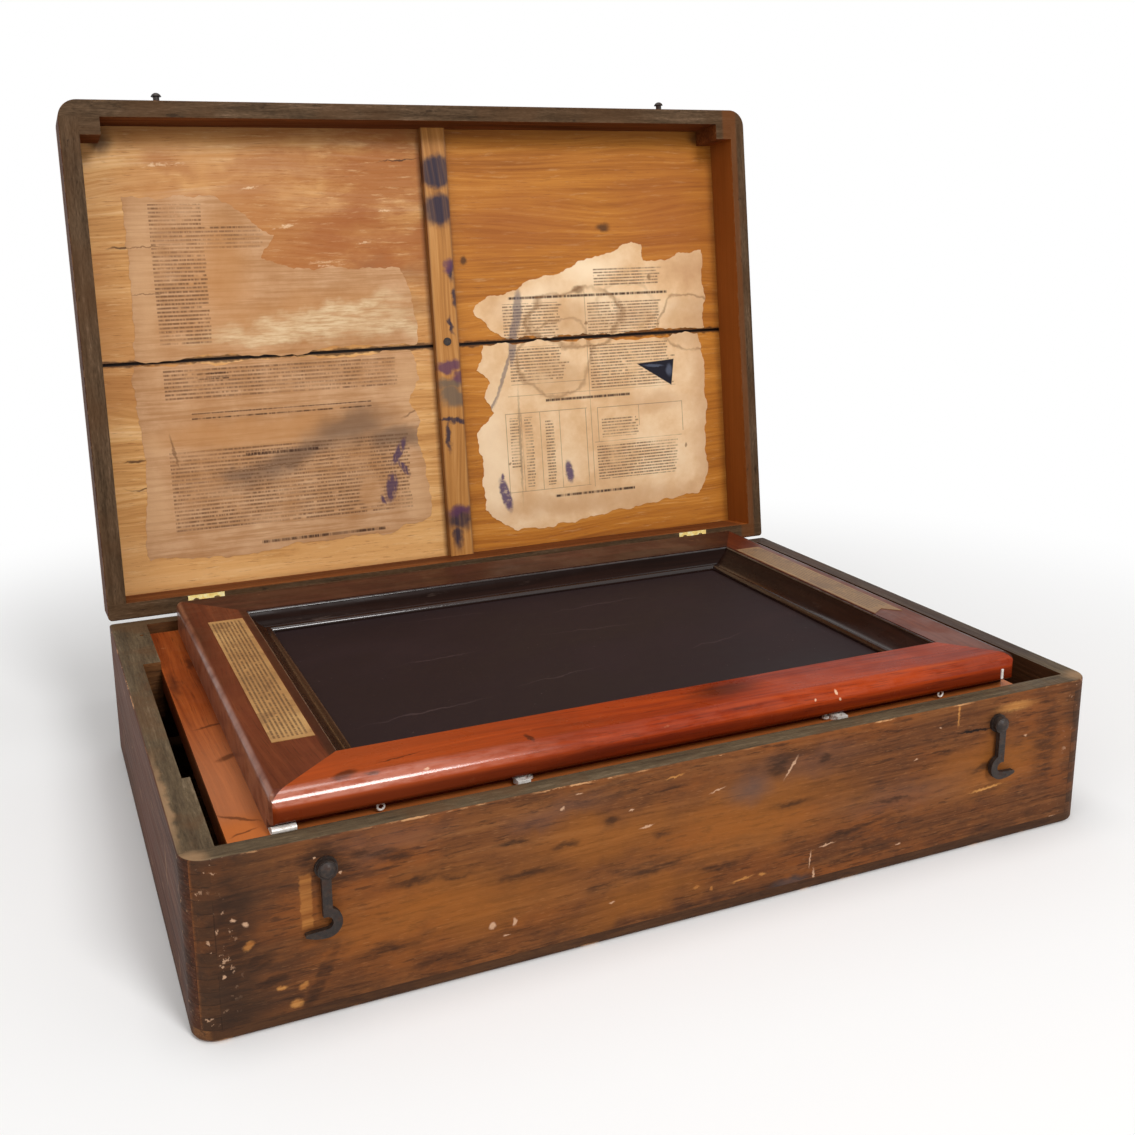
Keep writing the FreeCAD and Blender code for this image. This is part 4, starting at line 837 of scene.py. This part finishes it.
def rail_extra(p, c):
    """Burns, chips and the polished nose of the front rail, with a painted highlight on its left; the lower
    front face is darker, painted shade.
    """
    plane = p.vec(p.x, p.y, 0.0)
    fine = p.shaken(plane, 0.004, 220.0)
    left = p.step(p.x, 0.0, -0.20, 0, 0.6)
    c = p.stain(c, "a54d24", left)
    dark = p.spots(fine, [(-203, -168, 7, 3.5, 20, .4), (-189, -171, 4, 1.2, 0, .5),
        (-97, -166, 1.6, 5, 10, .4), (-170, -160, 12, .6, 8, .5), (38, -151, 20, 8, 5, .8)])
    c = p.stain(c, "2a130c", dark, 0.7)
    pale = p.spots(p.shaken(p.vec(p.x, p.z, 0.0), 0.002, 300.0), [(102, 116, .9, 1.3, 0, .4),
        (86, 114, .7, .9, 0, .4), (104, 112, .8, .7, 0, .4), (-160, 117, 1.6, .5, 0, .4)])
    c = p.stain(c, "d9ac8c", p.both(pale, p.step(p.y, -0.172, -0.174)))
    # painted shade on the lower front face of the rail
    lower_face_shade = p.step(p.z, 0.1130, 0.1085)
    c = p.stain(c, "451306", lower_face_shade, 0.65)
    nose = p.both(p.span(p.z, 0.1125, 0.1192, 0.0008), p.step(p.y, -0.1665, -0.1695))
    polished = p.both(nose, p.step(p.x, -0.06, -0.20, 0.15, 1.0))
    # painted highlight: a pale pink sheen on the left part of the nose
    nose_sheen = p.both(polished, p.step(p.stretched(p.co, (60, 200, 200), 4.0, 0.65), 0.35, 0.6))
    return p.stain(c, "d79a86", nose_sheen, 0.3), polished


def stile_extra(p, c):
    """Painted highlight on the left stile's outer bevel, and painted shade on the left stile's inner edge
    and the right stile's outer edge.
    """
    left = p.step(p.x, -0.2405, -0.2425)
    # painted highlight: a pale sheen on the left stile's outer bevel
    worn = p.both(left, p.step(p.noise(p.co, 70.0, 4.0, 0.6), 0.3, 0.6, 0.3, 1.0))
    c = p.stain(c, "a06a50", worn, 0.5)
    # painted shade on the left stile's inner edge and the right stile's outer edge
    stile_edge_shade = p.either(p.both(p.step(p.x, -0.2065, -0.2035), p.step(p.x, 0.0, -0.001)), p.step(p.x, 0.236,
        0.239))
    return p.stain(c, "2a140c", stile_edge_shade, 0.75), p.math("MULTIPLY", worn, 0.3)


def bed_extra(p, c):
    """Painted light toward the front of the bed and at its front end, scratches, and painted shade on the
    faces below its top.
    """
    plane = p.shaken(p.vec(p.x, p.y, 0.0), 0.006, 120.0)
    # painted light: the bed grows lighter toward the front, and its front end is orange where light falls
    # past the frame
    near = p.step(p.y, 0.02, -0.11)
    c = p.stain(c, "bf7d55", near, 0.5)
    end = p.step(p.y, -0.135, -0.160)
    c = p.stain(c, "bd6422", end, 0.6)
    dark = p.spots(plane, [(-249, -70, 6, 2.4, 30, .5), (-256, -148, 12, 1.2, -35, .5),
        (-250, -20, 10, 1.5, 12, .5), (-262, 60, 3, 20, 0, .7), (-247, 96, 2, 10, 0, .6),
        (-256, -164, 7, .8, 20, .5)])
    c = p.stain(c, "33130a", dark, 0.65)
    # painted shade on the bed's faces below its top
    bed_under_shade = p.step(p.z, 0.0950, 0.0925)
    return p.stain(c, "3a1a0c", bed_under_shade, 0.5), p.math("MULTIPLY", end, 0.2)


dress(mahogany("rail_mahogany", "x", RED, rail_extra, 1.14, (0.24, 0.38)), "frame_front_rail",
    "frame_front_sill")
# the back rail takes a darker copy of the frame mahogany: painted shade
dress(mahogany("back_mahogany_shaded", "x", SHADED_BACK_TONES, None, 1.2, (0.34, 0.5)), "frame_back_rail")
dress(mahogany("stile_mahogany", "y", BROWN, stile_extra), "frame_left_stile", "frame_right_stile")
dress(mahogany("bed_mahogany", "y", ORANGE, bed_extra, 1.14, (0.4, 0.58)), "bed_board")


def moulding_wood(name, direction, colours):
    """Dark wood of the well, polished along its lip and foot bead, with a painted highlight along the lip.
    """
    p = Paint(name, IOR=1.12, Coat_Roughness=0.12)
    along, across = (p.x, p.y) if direction == "x" else (p.y, p.x)
    bands, fibres, _ = grain_of(p, along, across, p.z)
    c = p.ramp(p.mixed(fibres, 0.4, bands, 0.6), *colours)
    dust = p.step(p.stretched(p.co, (30, 30, 200), 4.0, 0.7), 0.62, 0.74)
    c = p.stain(c, "8a7468", dust, 0.12)
    # painted highlight: a pale grey sheen along the top lip
    worn = p.both(p.step(p.z, 0.1178, 0.1190), p.step(p.noise(p.co, 90.0, 4.0, 0.65), 0.4, 0.6, 0.2, 1.0))
    c = p.stain(c, "7a6a68", worn, 0.35)
    rough = p.step(p.noise(p.co, 50.0, 4.0), 0.35, 0.65, 0.2, 0.32)
    beads = p.either(p.step(p.z, 0.1093, 0.1083), p.step(p.z, 0.1172, 0.1182))
    return p.finish(c, rough, fibres, 0.12, 0.0005, Coat_Weight=p.math("MULTIPLY", beads, 0.9))


NEAR_BLACK = ((0.3, "150a07"), (0.5, "20110c"), (0.7, "2e1912"))
# the left moulding takes a lighter copy of the dark moulding colour: painted light on its slope
LIT_UMBER = ((0.3, "20100a"), (0.5, "331d12"), (0.7, "4a2e1d"))
dress(moulding_wood("moulding_dark", "x", NEAR_BLACK), "well_moulding_back", "well_moulding_front")
dress(moulding_wood("moulding_side_lit", "y", LIT_UMBER), "well_moulding_left")
dress(moulding_wood("moulding_right", "y", NEAR_BLACK), "well_moulding_right")


# Threads of the inked fabric, in radians for each metre
THREADS = 5200.0


def inked_panel():
    p = Paint("inked_panel", IOR=1.2)
    threads = p.either(p.math("SINE", p.math("MULTIPLY", p.x, THREADS)), p.math("SINE", p.math("MULTIPLY",
        p.y, THREADS)))
    smear = p.stretched(p.co, (9, 16, 1), 5.0, 0.6)
    c = p.ramp(smear, (0.3, "1f1415"), (0.5, "221617"), (0.62, "26191a"), (0.78, "2d1f1f"))
    plane = p.shaken(p.vec(p.x, p.y, 0.0), 0.012, 60.0)
    scratch = p.spots(plane, [(-128, -75, 34, .7, 8, .8), (-30, -55, 26, .6, 10, .8),
        (30, 20, 30, .6, -6, .8), (-90, 10, 22, .6, 4, .8), (100, -40, 20, .7, 12, .8),
        (60, 70, 34, .6, 3, .8), (-60, 90, 26, .5, -4, .8)])
    c = p.stain(c, "6a5656", scratch, 0.2)
    dust = p.both(p.step(p.noise(p.co, 520.0, 2.0), 0.72, 0.77), p.step(p.noise(p.co, 22.0, 3.0), 0.4,
        0.62))
    c = p.stain(c, "8a7672", dust, 0.3)
    rough = p.step(smear, 0.35, 0.7, 0.58, 0.7)
    return p.finish(c, rough, p.math("MULTIPLY_ADD", threads, 0.12, smear), 0.08, 0.0003)


dress(inked_panel(), "diaphragm")


def label_paper():
    p = Paint("label_paper", Roughness=0.55, Specular_IOR_Level=0.3)
    plane = p.vec(p.x, p.y, 0.0)
    c, fibre = paper_base(p, plane, ((0.3, "84603a"), (0.46, "a17646"), (0.58, "b48a56"), (0.72, "c8a26a")),
        4.0)
    text, _ = rows(p, p.y, p.x, 0.0026, 0.5, 640.0, 8.0)
    inside = p.either(p.both(p.span(p.x, -0.2285, -0.2075, 0.0003), p.span(p.y, -0.109, 0.106, 0.0003)),
        p.both(p.span(p.x, 0.2125, 0.2310, 0.0003), p.span(p.y, -0.062, 0.108, 0.0003)))
    c = p.stain(c, "3c2616", p.both(text, inside), 0.75)
    stain = p.step(p.noise(p.co, 45.0, 4.0, 0.65), 0.52, 0.66)
    c = p.stain(c, "5b3a22", stain, 0.45)
    grey = p.step(p.x, 0.20, 0.21, 0, 0.5)
    c = p.stain(c, "5f4f40", grey)
    return p.finish(c, None, fibre, 0.3, 0.0003)


dress(label_paper(), "frame_label_left", "frame_label_right")


def metal(name, colours, rough, metallic, spots, amount, size=90.0):
    """Dull metal with tarnished patches and fine scratches."""
    p = Paint(name, Metallic=metallic)
    cloud = p.noise(p.co, size * 3, 5.0, 0.65)
    c = p.ramp(cloud, *colours)
    tarnish = p.step(p.noise(p.scaled(p.co, (1, 1, 1), (2, 5, 1)), size, 5.0, 0.7), 0.52, 0.66)
    c = p.blend(p.math("MULTIPLY", tarnish, amount), c, lin(spots))
    scratch = p.stretched(p.co, (300, 2400, 2400), 3.0, 0.6)
    r = p.math("MULTIPLY_ADD", tarnish, 0.25, p.step(scratch, 0.3, 0.7, rough - 0.06, rough + 0.1))
    return p.finish(c, r, p.math("MULTIPLY_ADD", scratch, 0.3, cloud), 0.25, 0.0003)


brass = metal("old_brass", ((0.3, "f0c46a"), (0.5, "ffe490"), (0.7, "fff6c8")), 0.42, 0.05, "8a6636", 0.2)
old_screw = metal("old_screws", ((0.3, "4a3a26"), (0.5, "6e5636"), (0.7, "94774c")), 0.45, 0.55, "2d1f14",
    0.6, 300.0)
iron = metal("black_iron", ((0.3, "17100d"), (0.5, "261b15"), (0.7, "3c2d22")), 0.5, 0.25, "40261a", 0.45,
    160.0)
steel = metal("dull_steel", ((0.3, "c4bcb2"), (0.5, "e6e0d8"), (0.7, "fbf8f3")), 0.32, 0.15, "7b6a5c", 0.3)
dress(brass, "case_hinge_leaf_left", "case_hinge_leaf_right", "lid_hinge_leaf_left", "lid_hinge_leaf_right",
    "hinge_pins", "bed_hinge_leaves", "frame_hinge_leaves")
dress(old_screw, "case_hinge_screws", "lid_hinge_screws", "frame_hinge_screws")
dress(iron, "hook_left", "hook_right", "hook_washers", "hook_screws", "lid_studs", "lid_nails",
    "lid_batten_screw")
dress(steel, "catch_keepers", "catch_pivot_screws", "frame_catch_left", "frame_catch_right", "wire_clips",
    "bed_corner_clip", "frame_front_strip")


def felt_cloth():
    p = Paint("bed_felt", Roughness=0.95, Specular_IOR_Level=0.1, Sheen_Weight=0.3)
    fuzz = p.noise(p.co, 900.0, 4.0, 0.7)
    c = p.ramp(fuzz, (0.3, "3c362f"), (0.5, "565049"), (0.7, "6f675d"))
    return p.finish(c, None, fuzz, 0.5, 0.0008)


dress(felt_cloth(), "bed_blanket")


def link_white(tree, shader, white, where=None):
    """The shader for light and shadow, and white for the rays that see the background."""
    path = add_node(tree, "ShaderNodeLightPath", {})
    seen = path.outputs["Is Camera Ray"]
    for other in ("Is Glossy Ray", "Is Transmission Ray"):
        seen = add_node(tree, "ShaderNodeMath", {0: seen, 1: path.outputs[other]},
            operation="MAXIMUM").outputs[0]
    if where is not None:
        seen = add_node(tree, "ShaderNodeMath", {0: seen, 1: where}, operation="MULTIPLY").outputs[0]
    return add_node(tree, "ShaderNodeMixShader", {0: seen, 1: shader.outputs[0],
        2: white.outputs[0]}).outputs[0]


# Floor: it keeps the shadow near the object and fades to white further out
FLOOR_NEAR, FLOOR_FAR = 0.42, 0.95
floor_mesh = bpy.data.meshes.new("floor")
floor_mesh.from_pydata([(-6, -6, 0), (6, -6, 0), (6, 6, 0), (-6, 6, 0)], [], [(0, 1, 2, 3)])
floor = bpy.data.objects.new("floor", floor_mesh)
floor.location.z = -0.0005
scene.collection.objects.link(floor)
floor_material = bpy.data.materials.new("floor")
floor_material.use_nodes = True
tree = floor_material.node_tree
pale = tree.nodes["Principled BSDF"]
pale.inputs["Base Color"].default_value = (0.9, 0.9, 0.9, 1)
pale.inputs["Roughness"].default_value = 0.9
pale.inputs["Specular IOR Level"].default_value = 0.1
place = add_node(tree, "ShaderNodeTexCoord", {})
reach = add_node(tree, "ShaderNodeVectorMath", {0: place.outputs["Object"]}, operation="LENGTH")
fade = add_node(tree, "ShaderNodeMapRange", {0: reach.outputs["Value"], 1: FLOOR_NEAR, 2: FLOOR_FAR},
    interpolation_type="SMOOTHSTEP")
white = add_node(tree, "ShaderNodeEmission", {0: (1, 1, 1, 1)})
tree.links.new(link_white(tree, pale, white, fade.outputs[0]), tree.nodes["Material Output"].inputs[0])
floor_mesh.materials.append(floor_material)

# Plain sky light on the object, white where a ray sees the background itself
world = bpy.data.worlds.new("world")
scene.world = world
world.use_nodes = True
tree = world.node_tree
sky = tree.nodes["Background"]
sky.inputs[0].default_value = (1.0, 0.98, 0.96, 1)
sky.inputs[1].default_value = 0.45
white = add_node(tree, "ShaderNodeBackground", {0: (1, 1, 1, 1), 1: 1.0})
tree.links.new(link_white(tree, sky, white), tree.nodes["World Output"].inputs[0])


def soft_light(name, place, aim, size, power):
    data = bpy.data.lights.new(name, "AREA")
    data.shape = "DISK"
    data.size = size
    data.energy = power
    made = bpy.data.objects.new(name, data)
    made.location = place
    made.rotation_euler = (Vector(aim) - Vector(place)).to_track_quat("-Z", "Y").to_euler()
    scene.collection.objects.link(made)


soft_light("key", (0.42, -2.4, 2.1), (0, 0, 0.15), 0.9, 48)
soft_light("fill", (-2.0, -1.4, 1.4), (0, 0, 0.15), 1.8, 12)
soft_light("top", (-0.2, 0.0, 2.6), (0, 0, 0.1), 1.2, 16)
